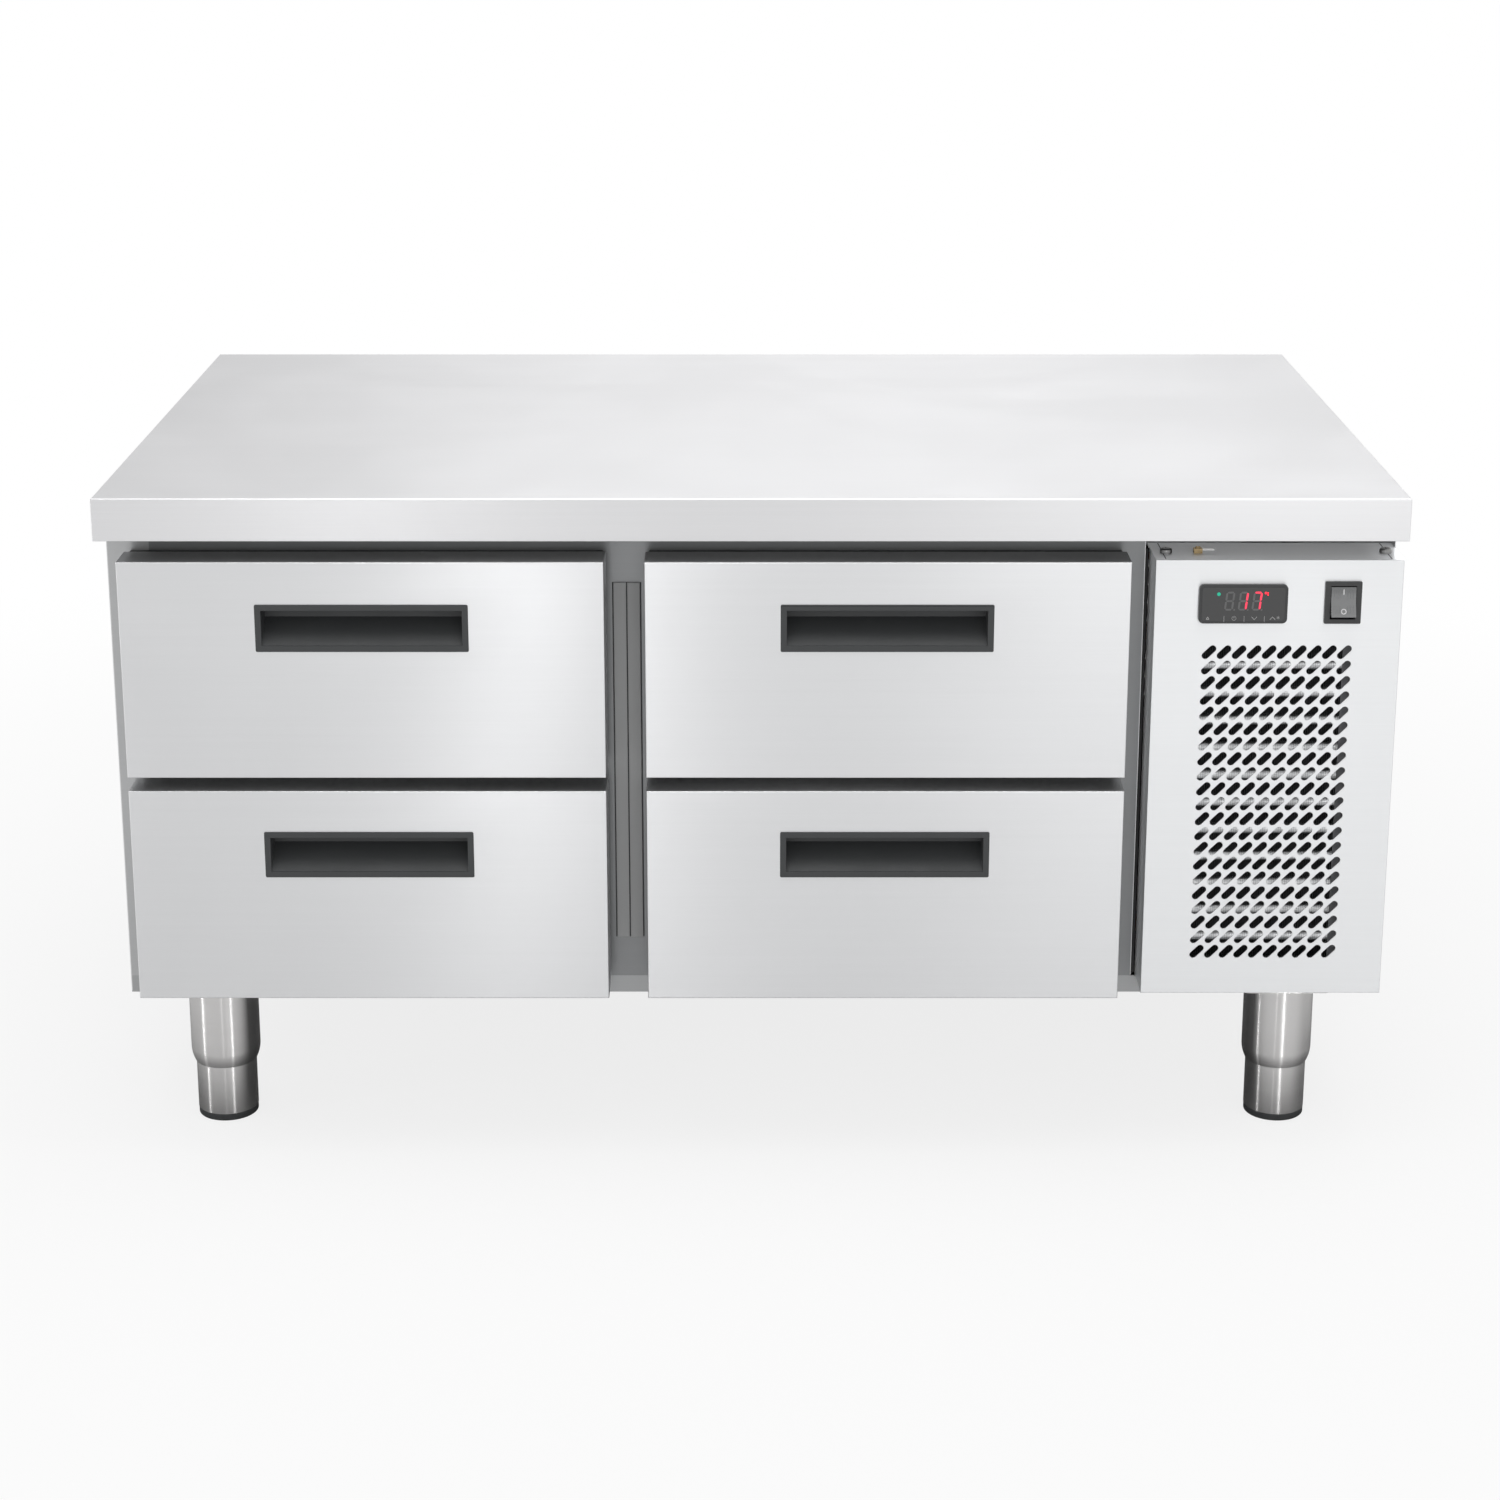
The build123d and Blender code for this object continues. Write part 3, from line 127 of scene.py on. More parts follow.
camera = add_camera()
print("camera at", [round(v, 3) for v in camera.location], "lens", camera.data.lens)

# %% [markdown]
# Building shader networks
#
# Every finish below is a small network of nodes. Writing each link out takes many lines, so
# one helper adds a node, sets its values and joins its inputs in one call. The others stand
# for the few nodes that nearly every finish needs: a sum, a blend, a ramp, a noise, and the
# direction that the surface looks in.

# %% Node helpers
MIX_SOCKETS = {"FLOAT": (2, 3, 0), "VECTOR": (4, 5, 1), "RGBA": (6, 7, 2)}
SMOOTH = "SMOOTHSTEP"
HALF_TURNED = 0.5
RELIEF_DEPTH = 0.2 * MM


def set_inputs(tree, node, inputs):
    """Give each input a value, or the socket that feeds it."""
    for key, value in inputs.items():
        if isinstance(value, bpy.types.NodeSocket):
            tree.links.new(value, node.inputs[key])
        else:
            node.inputs[key].default_value = value


def add_node(tree, kind, inputs=None, **settings):
    """A node with its settings and its inputs."""
    node = tree.nodes.new(kind)
    for name, value in settings.items():
        setattr(node, name, value)
    set_inputs(tree, node, inputs or {})
    return node


def math_node(tree, operation, *values, clamp=False):
    """The result of one sum; each value is a number or a socket."""
    inputs = dict(enumerate(values))
    node = add_node(tree, "ShaderNodeMath", inputs, operation=operation, use_clamp=clamp)
    return node.outputs[0]


def vector_node(tree, operation, inputs, out=0):
    """The result of one sum of vectors."""
    return add_node(tree, "ShaderNodeVectorMath", inputs, operation=operation).outputs[out]


def mixed(tree, share, first, second, kind="FLOAT"):
    """A blend of two values; kind is the Mix node's type of data."""
    a, b, out = MIX_SOCKETS[kind]
    node = add_node(tree, "ShaderNodeMix", {0: share, a: first, b: second}, data_type=kind)
    return node.outputs[out]


def ramp(tree, value, start, end, low=0.0, high=1.0, shape="LINEAR"):
    """A value carried from one range to another, and held at its ends."""
    inputs = {0: value, 1: start, 2: end, 3: low, 4: high}
    return add_node(tree, "ShaderNodeMapRange", inputs, interpolation_type=shape).outputs[0]


def noise(tree, place, scale, detail=2.0, roughness=0.5, distortion=0.0):
    """A cloudy value between 0 and 1."""
    inputs = {"Vector": place, "Scale": scale, "Detail": detail, "Roughness": roughness,
              "Distortion": distortion}
    return add_node(tree, "ShaderNodeTexNoise", inputs).outputs["Fac"]


def bumped(tree, height, strength, distance=RELIEF_DEPTH):
    """A normal that follows a small relief."""
    inputs = {"Height": height, "Strength": strength, "Distance": distance}
    return add_node(tree, "ShaderNodeBump", inputs).outputs[0]


def surface_point(tree):
    """The place on the surface, in the object's own coordinates."""
    return add_node(tree, "ShaderNodeTexCoord").outputs["Object"]


def facing(tree, axis):
    """How far the surface looks along an axis, from -1 to 1."""
    normal = add_node(tree, "ShaderNodeNewGeometry").outputs["Normal"]
    return add_node(tree, "ShaderNodeSeparateXYZ", {0: normal}).outputs[axis]


def level_face(tree):
    """1 on faces that look up or down, else 0."""
    return math_node(tree, "GREATER_THAN", math_node(tree, "ABSOLUTE", facing(tree, "Z")),
                     HALF_TURNED)


def new_group(name, inputs, outputs):
    """An empty shader node group, the sockets that come in, and the node that goes out."""
    group = bpy.data.node_groups.new(name, "ShaderNodeTree")
    for label, value in inputs.items():
        socket = group.interface.new_socket(label, in_out="INPUT", socket_type="NodeSocketFloat")
        socket.default_value = value
    for label in outputs:
        group.interface.new_socket(label, in_out="OUTPUT", socket_type="NodeSocketFloat")
    entry = group.nodes.new("NodeGroupInput")
    leave = group.nodes.new("NodeGroupOutput")
    return group, entry.outputs, leave


def place_group(tree, group, inputs):
    """The outputs of a node group that is placed in a material with its own values."""
    return add_node(tree, "ShaderNodeGroup", inputs, node_tree=group).outputs


print("helpers ready")

# %% [markdown]
# Brushed grain
#
# Stainless sheet is ground with a belt, which leaves short parallel scratches along the
# sheet. Seen closely they are light and dark hairlines; seen from afar they blur into faint
# bands. A noise that is stretched far along one direction gives both. On upright faces the
# grain runs level, so the noise is fine along Z; on faces that look up it runs along X, so
# the noise is fine along Y. The face's own normal chooses between the two.

# %% Brushed grain group
def grain_group():
    """Hairlines and faint bands along the sheet."""
    group, entry, leave = new_group(
        "Brushed grain", {"Along": 14.0, "Across": 2400.0, "Contrast": 0.06},
        ["Tone", "Height"])
    along, across = entry["Along"], entry["Across"]
    place = surface_point(group)
    y_scale = mixed(group, level_face(group), along, across)
    stretch = add_node(group, "ShaderNodeCombineXYZ", {0: along, 1: y_scale, 2: across})
    stretched = vector_node(group, "MULTIPLY", {0: place, 1: stretch.outputs[0]})
    fine = noise(group, stretched, 1.0, detail=3.0, roughness=0.7)
    broad = noise(group, stretched, 0.11)
    height = math_node(group, "ADD", math_node(group, "MULTIPLY", fine, 0.65),
                       math_node(group, "MULTIPLY", broad, 0.35))
    centred = math_node(group, "SUBTRACT", height, 0.5)
    tone = math_node(group, "MULTIPLY_ADD", centred, entry["Contrast"], 1.0)
    set_inputs(group, leave, {"Tone": tone, "Height": height})
    return group


brushed_grain = grain_group()
print("group", brushed_grain.name)

# %% [markdown]
# Handling marks
#
# Hands and cloths leave steel a little duller in soft cloudy patches. A slow noise raises the
# roughness by a few hundredths: too little to see as a stain, enough to break up a large
# even reflection.

# %% Handling marks group
def marks_group():
    """Soft duller patches."""
    group, entry, leave = new_group("Handling marks", {"Size": 3.0, "Amount": 0.04},
                                    ["Dullness"])
    cloud = noise(group, surface_point(group), entry["Size"], detail=5.0, roughness=0.6,
                  distortion=0.6)
    dullness = math_node(group, "MULTIPLY", ramp(group, cloud, 0.4, 0.75), entry["Amount"])
    set_inputs(group, leave, {"Dullness": dullness})
    return group


handling_marks = marks_group()
print("group", handling_marks.name)

# %% [markdown]
# Moulded grain
#
# Moulded plastic has a fine pebbled texture, etched into the mould so that it hides
# scratches. Two sizes of noise give its height, and the same noise varies the tone slightly.

# %% Moulded grain group
def mould_group():
    """A pebbled texture in two sizes."""
    group, entry, leave = new_group("Moulded grain", {"Size": 1600.0, "Contrast": 0.2},
                                    ["Tone", "Height"])
    place = surface_point(group)
    pebble = noise(group, place, entry["Size"])
    cloud = noise(group, place, 60.0, detail=4.0, roughness=0.6)
    height = math_node(group, "MULTIPLY_ADD", cloud, 0.3, pebble)
    centred = math_node(group, "SUBTRACT", height, 0.65)
    tone = math_node(group, "MULTIPLY_ADD", centred, entry["Contrast"], 1.0)
    set_inputs(group, leave, {"Tone": tone, "Height": height})
    return group


moulded_grain = mould_group()
print("group", moulded_grain.name)

# %% [markdown]
# Dust
#
# The condensing unit draws room air through itself, so faces that look up carry a thin grey
# film. The mask is the upward part of the normal, broken up by a noise.

# %% Dust group
DUST_COLOUR = (0.45, 0.43, 0.40, 1)


def dust_group():
    """Where dust has settled."""
    group, entry, leave = new_group("Settled dust", {"Amount": 0.3}, ["Cover"])
    cloud = noise(group, surface_point(group), 90.0, detail=6.0, roughness=0.65)
    mask = math_node(group, "MULTIPLY", facing(group, "Z"), cloud, clamp=True)
    cover = math_node(group, "MULTIPLY", mask, entry["Amount"], clamp=True)
    set_inputs(group, leave, {"Cover": cover})
    return group


settled_dust = dust_group()


def dusted(tree, colour, amount):
    """A colour under a film of dust, and how far the film covers it."""
    if not amount:
        return colour, 0.0
    cover = place_group(tree, settled_dust, {"Amount": amount})["Cover"]
    return mixed(tree, cover, colour, DUST_COLOUR, "RGBA"), cover


print("group", settled_dust.name)

# %% [markdown]
# Brushed steel
#
# Scratches blur a reflection across their own direction far more than along it. That is
# anisotropy. The Tangent node gives the direction of the grain: round the upright axis on
# upright faces, and along X on faces that look up. A quarter turn then points the long axis
# of the highlight across the grain, which draws the soft upright bands that steel fronts show.

# %% Brushed steel
QUARTER_TURN = 0.25
SHEET_RELIEF = 0.03
finish = {}


def scaled_colour(tree, colour, factor):
    """A colour times a value that changes over the surface."""
    return vector_node(tree, "SCALE", {0: colour, "Scale": factor})


def grain_direction(tree):
    """The direction that the scratches run in."""
    round_z, round_y = [
        add_node(tree, "ShaderNodeTangent", direction_type="RADIAL", axis=axis).outputs[0]
        for axis in ("Z", "Y")]
    return mixed(tree, level_face(tree), round_z, round_y, "VECTOR")


def start_material(name):
    """An empty material with its Principled shader."""
    material = bpy.data.materials.new(name)
    material.use_nodes = True
    tree = material.node_tree
    return material, tree, tree.nodes["Principled BSDF"]


def turned_away(tree):
    """1 on faces that don't look to the front or the rear, else 0."""
    return math_node(tree, "LESS_THAN", math_node(tree, "ABSOLUTE", facing(tree, "Y")),
                     HALF_TURNED)


def brushed_steel(name, colour, roughness, anisotropy, along=14.0, across=2400.0,
                  contrast=0.16, marks=0.05, streak=0.12, returns=1.0):
    """Steel sheet with a ground finish; painted shade may darken the colour of its folded sides.
    """
    material, tree, shader = start_material(name)
    grain = place_group(tree, brushed_grain,
                        {"Along": along, "Across": across, "Contrast": contrast})
    cloud = place_group(tree, handling_marks, {"Amount": marks})
    tone = grain["Tone"]
    # Painted shade: faces that don't look to the front or the rear get their colour darkened by
    # this share, for the shade in the gaps round a drawer front.
    if returns < 1:
        share = math_node(tree, "MULTIPLY_ADD", turned_away(tree), returns - 1, 1.0)
        tone = math_node(tree, "MULTIPLY", tone, share)
    streaks = math_node(tree, "MULTIPLY_ADD", grain["Height"], streak, roughness - streak / 2)
    set_inputs(tree, shader, {
        "Base Color": scaled_colour(tree, colour, tone),
        "Roughness": math_node(tree, "ADD", cloud["Dullness"], streaks),
        "Normal": bumped(tree, grain["Height"], SHEET_RELIEF),
        "Tangent": grain_direction(tree),
        "Metallic": 1.0,
        "Anisotropic": anisotropy,
        "Anisotropic Rotation": QUARTER_TURN})
    return material


def make_finishes(maker, rows):
    """One material for each row: its name, then what its maker is told."""
    for name, *values, options in rows:
        finish[name] = maker(name, *values, **options)
    print(maker.__name__, [row[0] for row in rows])


make_finishes(brushed_steel, [
    ("worktop_steel", (0.76, 0.76, 0.77), 0.33, 0.85, dict(contrast=0.10, streak=0.10)),
    # front_steel: its folded sides get 0.68 of the face's colour, painted shade in the drawer
    # gaps.
    ("front_steel", (0.77, 0.775, 0.785), 0.30, 0.95,
     dict(contrast=0.08, streak=0.08, returns=0.68)),
    ("panel_steel", (0.83, 0.84, 0.85), 0.38, 0.88, dict(contrast=0.08, streak=0.08)),
    ("body_steel", (0.68, 0.685, 0.69), 0.32, 0.88, {}),
    # frame and stile steel are copies of the same steel made darker: painted shade, deepest on
    # the bars between the drawers.
    ("frame_steel", (0.27, 0.275, 0.28), 0.42, 0.6, {}),
    ("stile_steel_painted_shade", (0.465, 0.47, 0.475), 0.40, 0.6, {}),
    # base_steel_painted_shade: the casing's steel made darker, painted shade under the body.
    ("base_steel_painted_shade", (0.40, 0.405, 0.41), 0.42, 0.6, {}),
    ("liner_steel", (0.66, 0.67, 0.67), 0.34, 0.6, {}),
    ("slide_steel", (0.56, 0.57, 0.58), 0.30, 0.5, dict(contrast=0.05)),
    ("tray_steel", (0.50, 0.51, 0.52), 0.40, 0.3, dict(contrast=0.05)),
    ("leg_steel", (0.71, 0.70, 0.695), 0.25, 1.0,
     dict(across=1600.0, contrast=0.22, marks=0.01, streak=0.04)),
    ("screw_steel", (0.36, 0.36, 0.355), 0.35, 0.0, dict(along=900.0))])

# %% [markdown]
# Plastics, rubber and paint
#
# The handles are grey moulded plastic with a pebbled grain. The controller and the switch are
# smoother and darker. Rubber is rougher still. One function makes them all, because they
# differ only in colour, gloss and grain. A thin coat is set where the plastic is glossy.
# Print is made by the same function: it is a matte film of the same kind.

# %% Plastics, rubber and paint
def moulded(name, colour, roughness, size=1600.0, contrast=0.2, relief=0.15, coat=0.0, dust=0.0):
    """Plastic, rubber or enamel with a fine grain."""
    material, tree, shader = start_material(name)
    grain = place_group(tree, moulded_grain, {"Size": size, "Contrast": contrast})
    cloud = place_group(tree, handling_marks, {"Size": 25.0, "Amount": 0.08})
    surface, _ = dusted(tree, scaled_colour(tree, colour, grain["Tone"]), dust)
    set_inputs(tree, shader, {
        "Base Color": surface,
        "Roughness": math_node(tree, "ADD", cloud["Dullness"], roughness),
        "Normal": bumped(tree, grain["Height"], relief),
        "Coat Weight": coat,
        "Coat Roughness": 0.08})
    return material


make_finishes(moulded, [
    ("handle_plastic", (0.048, 0.051, 0.053), 0.48, dict(contrast=0.35, relief=0.35)),
    ("cover_plastic", (0.50, 0.505, 0.505), 0.42, dict(contrast=0.06)),
    ("controller_plastic", (0.045, 0.046, 0.048), 0.35, {}),
    ("window_plastic", (0.036, 0.037, 0.038), 0.10, dict(relief=0.01, contrast=0.05, coat=0.6)),
    ("switch_plastic", (0.045, 0.046, 0.047), 0.28, dict(relief=0.06)),
    ("rocker_plastic", (0.160, 0.165, 0.167), 0.16, dict(relief=0.03, contrast=0.08, coat=0.8)),
    ("rocker_rib", (0.17, 0.175, 0.18), 0.3, dict(contrast=0.08, relief=0.0)),
    ("gasket_rubber", (0.030, 0.030, 0.031), 0.55, dict(contrast=0.15)),
    ("pad_rubber", (0.055, 0.058, 0.060), 0.45, {}),
    ("fan_plastic", (0.030, 0.030, 0.030), 0.45, dict(dust=0.3)),
    ("gland_plastic", (0.035, 0.035, 0.036), 0.42, {}),
    ("compressor_paint", (0.018, 0.018, 0.019), 0.30, dict(size=500.0, relief=0.2, dust=0.5)),
    ("motor_paint", (0.10, 0.10, 0.105), 0.40, dict(size=500.0, dust=0.4)),
    ("segment_grey", (0.150, 0.151, 0.153), 0.30, dict(contrast=0.1, relief=0.0)),
    ("print_white", (0.55, 0.55, 0.55), 0.45, dict(contrast=0.1, relief=0.0)),
    ("switch_white", (0.80, 0.80, 0.80), 0.40, dict(contrast=0.05, relief=0.0))])

# %% [markdown]
# Bare metals, foam and board
#
# The fins are thin aluminium in a dark grey, the refrigerant tubes are drawn copper that has
# dulled to brown in places, and the earth terminal is brass. The foam and the board are hidden,
# but they get a finish too: they show if somebody takes the part to pieces.

# %% Bare metals, foam and board
CELL_DEPTH = 0.5 * MM


def bare_metal(name, colour, stain, roughness, dust=0.0):
    """Drawn or rolled metal with slight staining."""
    material, tree, shader = start_material(name)
    cloud = noise(tree, surface_point(tree), 70.0, detail=5.0, roughness=0.6)
    patch = ramp(tree, cloud, 0.45, 0.75)
    stained = mixed(tree, patch, (*colour, 1), (*stain, 1), "RGBA")
    surface, cover = dusted(tree, stained, dust)
    set_inputs(tree, shader, {
        "Base Color": surface,
        "Roughness": math_node(tree, "MULTIPLY_ADD", patch, 0.15, roughness),
        "Metallic": math_node(tree, "SUBTRACT", 1.0, cover) if dust else 1.0})
    return material


def fibrous(name, colour, dark, scale, stretch):
    """Foam or pressed board: a matte body with cells or fibres."""
    material, tree, shader = start_material(name)
    place = surface_point(tree)
    stretched = vector_node(tree, "MULTIPLY", {0: place, 1: stretch})
    cell = add_node(tree, "ShaderNodeTexVoronoi",
                    {"Vector": stretched, "Scale": scale}).outputs["Distance"]
    mask = math_node(tree, "MULTIPLY", cell, noise(tree, place, 14.0, detail=4.0), clamp=True)
    set_inputs(tree, shader, {
        "Base Color": mixed(tree, mask, (*colour, 1), (*dark, 1), "RGBA"),
        "Roughness": 0.9,
        "Normal": bumped(tree, cell, 0.3, CELL_DEPTH)})
    return material


make_finishes(bare_metal, [
    ("fin_aluminium", (0.24, 0.24, 0.25), (0.16, 0.16, 0.16), 0.42, dict(dust=0.2)),
    ("collar_aluminium", (0.85, 0.86, 0.87), (0.70, 0.70, 0.70), 0.30, {}),
    ("tinned", (0.85, 0.85, 0.84), (0.62, 0.62, 0.61), 0.40, {}),
    ("copper", (0.72, 0.36, 0.22), (0.34, 0.17, 0.11), 0.28, {}),
    ("brass", (0.44, 0.33, 0.18), (0.28, 0.20, 0.11), 0.34, {})])
make_finishes(fibrous, [
    ("foam", (0.78, 0.66, 0.36), (0.55, 0.43, 0.20), 600.0, (1, 1, 1), {}),
    ("board", (0.055, 0.053, 0.050), (0.022, 0.021, 0.020), 300.0, (0.25, 1, 1), {})])

# %% [markdown]
# Lit digits and lamp
#
# The digits and the green lamp shine by themselves, so they are emissive. The segments that
# are off show as slightly lighter grey shapes behind the smoked window.

# %% Lit digits and lamp
def glowing(name, colour, strength):
    """A lit segment; its brightness varies a little across it."""
    material, tree, shader = start_material(name)
    cloud = noise(tree, surface_point(tree), 300.0)
    level = math_node(tree, "MULTIPLY_ADD", cloud, 0.3, 0.85)
    set_inputs(tree, shader, {
        "Emission Color": scaled_colour(tree, colour, level),
        "Emission Strength": strength,
        "Base Color": (*colour, 1),
        "Roughness": 0.3})
    return material


make_finishes(glowing, [
    ("digit_red", (0.86, 0.040, 0.085), 1.0, {}),
    ("lamp_green", (0.010, 0.33, 0.21), 0.8, {})])

# %% [markdown]
# Finishes on the CAD parts
#
# Sheet parts are exactly what the CAD says, so they stay and only get a finish. The lists
# give each finish its nodes; parts whose names end in a drawer's name share one entry.

# %% Finishes on the CAD parts
DRAWERS = [f"{level}_{bay}" for level in ("lower", "upper") for bay in ("left", "right")]
FEET = ("front_left", "front_right", "rear_left", "rear_right")
NODES_BY_FINISH = {
    "worktop_steel": ["worktop_skin"],
    "body_steel": ["outer_casing", "technical_side_panel", "technical_back_panel"],
    "base_steel_painted_shade": ["base_panel"],
    "liner_steel": ["inner_liner", "evaporator_housing"],
    "frame_steel": ["front_frame"],
    "panel_steel": ["control_panel"],
    "slide_steel": ["centre_posts", "slide_outer_rails"],
    "tray_steel": ["unit_tray", "condenser_shroud"],
    "leg_steel": ["leg_tubes", *(f"foot_{foot}" for foot in FEET)],
    "screw_steel": ["panel_screws"],
    "fin_aluminium": ["evaporator_coil", "condenser_coil"],
    "copper": ["refrigerant_pipes", "filter_drier"],
    "cover_plastic": ["mullion_cover"],
    "fan_plastic": ["evaporator_fan_frame", "evaporator_fan", "condenser_fan"],
    "motor_paint": ["condenser_fan_motor"],
    "compressor_paint": ["compressor"],
    "gland_plastic": ["cable_gland"],
    "controller_plastic": ["controller_case"],
    "window_plastic": ["controller_window"],
    "switch_plastic": ["switch_housing"],
    "rocker_plastic": ["switch_rocker"],
    "foam": ["insulation"],
    "board": ["worktop_board"]}
DRAWER_PARTS = {
    "drawer_front": "front_steel", "drawer_foam": "foam", "drawer_gasket": "gasket_rubber",
    "drawer_handle": "handle_plastic", "drawer_tray": "slide_steel",
    "slide_middle": "slide_steel"}
node_finish = {name: kind for kind, names in NODES_BY_FINISH.items() for name in names}
for part, kind in DRAWER_PARTS.items():
    node_finish.update({f"{part}_{drawer}": kind for drawer in DRAWERS})
for name, node in nodes.items():
    node.data.materials.clear()
    node.data.materials.append(finish[node_finish[name]])
print("dressed", len(nodes), "nodes; without a finish:", sorted(set(nodes) - set(node_finish)))

# %% [markdown]
# Shapes from points
#
# Most of the new pieces are one of four simple shapes: a box, an outline with a depth, a
# profile that is turned round an axis, and a round tube along a line. Each function returns
# corners and faces, so that many such parts can be joined into one mesh.

# %% Shapes from points
def circle(a, b, radius, count):
    """Points round a circle, as pairs."""
    turns = [2 * math.pi * i / count for i in range(count)]
    return [(a + radius * math.cos(turn), b + radius * math.sin(turn)) for turn in turns]


def band_faces(rings, sides, closed=False):
    """Quads between rings of points; a closed band joins its last ring to its first."""
    faces = []
    for ring in range(rings if closed else rings - 1):
        here, there = ring * sides, (ring + 1) % rings * sides
        for side in range(sides):
            turn = (side + 1) % sides
            faces.append((here + side, here + turn, there + turn, there + side))
    return faces


def swept_faces(rings, sides, closed=False):
    """A band of quads, with a flat face over each end unless it is closed."""
    last = (rings - 1) * sides
    caps = [] if closed else [tuple(range(sides)), tuple(range(last, last + sides))]
    return band_faces(rings, sides, closed) + caps


def box_part(x0, x1, y0, y1, z0, z1):
    """The corners and faces of a box."""
    points = [(x, y, z) for x in (x0, x1) for y in (y0, y1) for z in (z0, z1)]
    faces = [(0, 1, 3, 2), (4, 6, 7, 5), (0, 4, 5, 1), (2, 3, 7, 6), (0, 2, 6, 4), (1, 5, 7, 3)]
    return points, faces


def prism_part(outline, low, high, axis="Z"):
    """An outline of pairs with a depth: in X and Y along Z, or in X and Z along Y."""
    points = [(a, b, level) if axis == "Z" else (a, level, b)
              for level in (low, high) for a, b in outline]
    return points, swept_faces(2, len(outline))


def lathe_part(profile, centre, axis="Z", sides=96, closed=False):
    """A turned shape: a profile of (radius, height) pairs, swept round an axis."""
    points = []
    for radius, height in profile:
        for a, b in circle(0, 0, radius, sides):
            offset = {"Z": (a, b, height), "Y": (a, height, b), "X": (height, a, b)}[axis]
            points.append(tuple(c + o for c, o in zip(centre, offset)))
    return points, swept_faces(len(profile), sides, closed)


def tube_part(points, radius, sides, loop=False):
    """A round tube along a list of points."""
    line = [Vector(p) for p in points]
    count = len(line)
    corners = []
    side_way = None
    for index, point in enumerate(line):
        before = line[index - 1] if index or loop else point
        after = line[(index + 1) % count] if index < count - 1 or loop else point
        ahead = (after - before).normalized()
        if side_way is None:
            side_way = ahead.orthogonal().normalized()
        side_way = (side_way - ahead * side_way.dot(ahead)).normalized()
        up_way = ahead.cross(side_way)
        corners += [point + (side_way * a + up_way * b) * radius
                    for a, b in circle(0, 0, 1, sides)]
    return corners, swept_faces(count, sides, loop)


def rounded(corners, radii, steps=5):
    """A profile with each corner rounded by its own radius."""
    out = []
    for index, corner in enumerate(corners):
        radius = radii[index]
        if radius == 0 or index in (0, len(corners) - 1):
            out.append(tuple(corner))
            continue
        here = Vector(corner)
        back = (Vector(corners[index - 1]) - here).normalized()
        ahead = (Vector(corners[index + 1]) - here).normalized()
        half = math.acos(max(-1, min(1, back.dot(ahead)))) / 2
        reach = radius / math.tan(half)
        start, end = here + back * reach, here + ahead * reach
        centre = here + (back + ahead).normalized() * (radius / math.sin(half))
        for step in range(steps + 1):
            ray = start.lerp(end, step / steps) - centre
            out.append(tuple(centre + ray.normalized() * radius))
    return out


print("shapes ready")

# %% [markdown]
# Making pieces
#
# Each new piece is a mesh. One function puts a mesh into the scene, gives it a finish, lets
# it ride on its CAD body, and names the CAD nodes that it stands for.

# %% Making pieces
SHARP_ANGLE = math.radians(38)


def mesh_from(name, parts):
    """One mesh out of lists of corners and faces, with its normals turned outwards."""
    points, faces = [], []
    for part_points, part_faces in parts:
        start = len(points)
        points.extend(tuple(point) for point in part_points)
        faces.extend([tuple(start + index for index in face) for face in part_faces])
    mesh = bpy.data.meshes.new(name)
    mesh.from_pydata(points, [], faces)
    shape = bmesh.new()
    shape.from_mesh(mesh)
    bmesh.ops.recalc_face_normals(shape, faces=shape.faces)
    shape.to_mesh(mesh)
    shape.free()
    mesh.validate()
    return mesh


def add_piece(name, shape, material, slot=None, body="root", smooth=False, replaces=()):
    """Put a finished piece into the scene; its shape is a mesh, or a list of parts."""
    mesh = shape if isinstance(shape, bpy.types.Mesh) else mesh_from(name, shape)
    slot = slot or material
    mesh.materials.clear()
    mesh.materials.append(finish[material])
    mesh.polygons.foreach_set("use_smooth", [smooth] * len(mesh.polygons))
    if smooth:
        mesh.set_sharp_from_angle(angle=SHARP_ANGLE)
    piece = bpy.data.objects.new(name, mesh)
    scene.collection.objects.link(piece)
    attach(piece, body)
    if replaces:
        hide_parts(*replaces)
    return piece


def centre_of(name):
    """The middle of a CAD node's box."""
    low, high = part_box(name)
    return (low + high) / 2


print("makers ready")

# %% [markdown]
# Softened edges
#
# A moulded or folded edge is never perfectly sharp: it has a small radius that catches the
# light as a thin bright line. The CAD meshes have sharp triangles. A copy is cleaned (equal
# corners joined, flat triangles merged), then a Bevel modifier rounds its edges, and the copy
# stands for the CAD node.

# %% Softened edges
SAME_POINT = 0.002 * MM
FLAT_ANGLE = math.radians(0.5)
BEVEL_ANGLE = math.radians(30)
BEVEL_SEGMENTS = 3
HANDLE_EDGE = 0.45 * MM
FRONT_EDGE = 0.5 * MM
WORKTOP_EDGE = 0.8 * MM
CASE_EDGE = 0.5 * MM
HOUSING_EDGE = 0.4 * MM
ROCKER_EDGE = 0.5 * MM


def cad_copy(node_name, new_name, keep=None, merge=False):
    """A clean copy of a CAD node's mesh, or of the faces for which keep(centre) is true."""
    mesh = nodes[node_name].data.copy()
    mesh.name = new_name
    shape = bmesh.new()
    shape.from_mesh(mesh)
    if keep:
        away = [face for face in shape.faces if not keep(face.calc_center_median())]
        bmesh.ops.delete(shape, geom=away, context="FACES")
    bmesh.ops.remove_doubles(shape, verts=shape.verts, dist=SAME_POINT)
    if merge:
        bmesh.ops.dissolve_limit(shape, angle_limit=FLAT_ANGLE, verts=shape.verts,
                                 edges=shape.edges)
    bmesh.ops.recalc_face_normals(shape, faces=shape.faces)
    shape.to_mesh(mesh)
    shape.free()
    if mesh.attributes.get("custom_normal"):
        mesh.attributes.remove(mesh.attributes["custom_normal"])
    return mesh


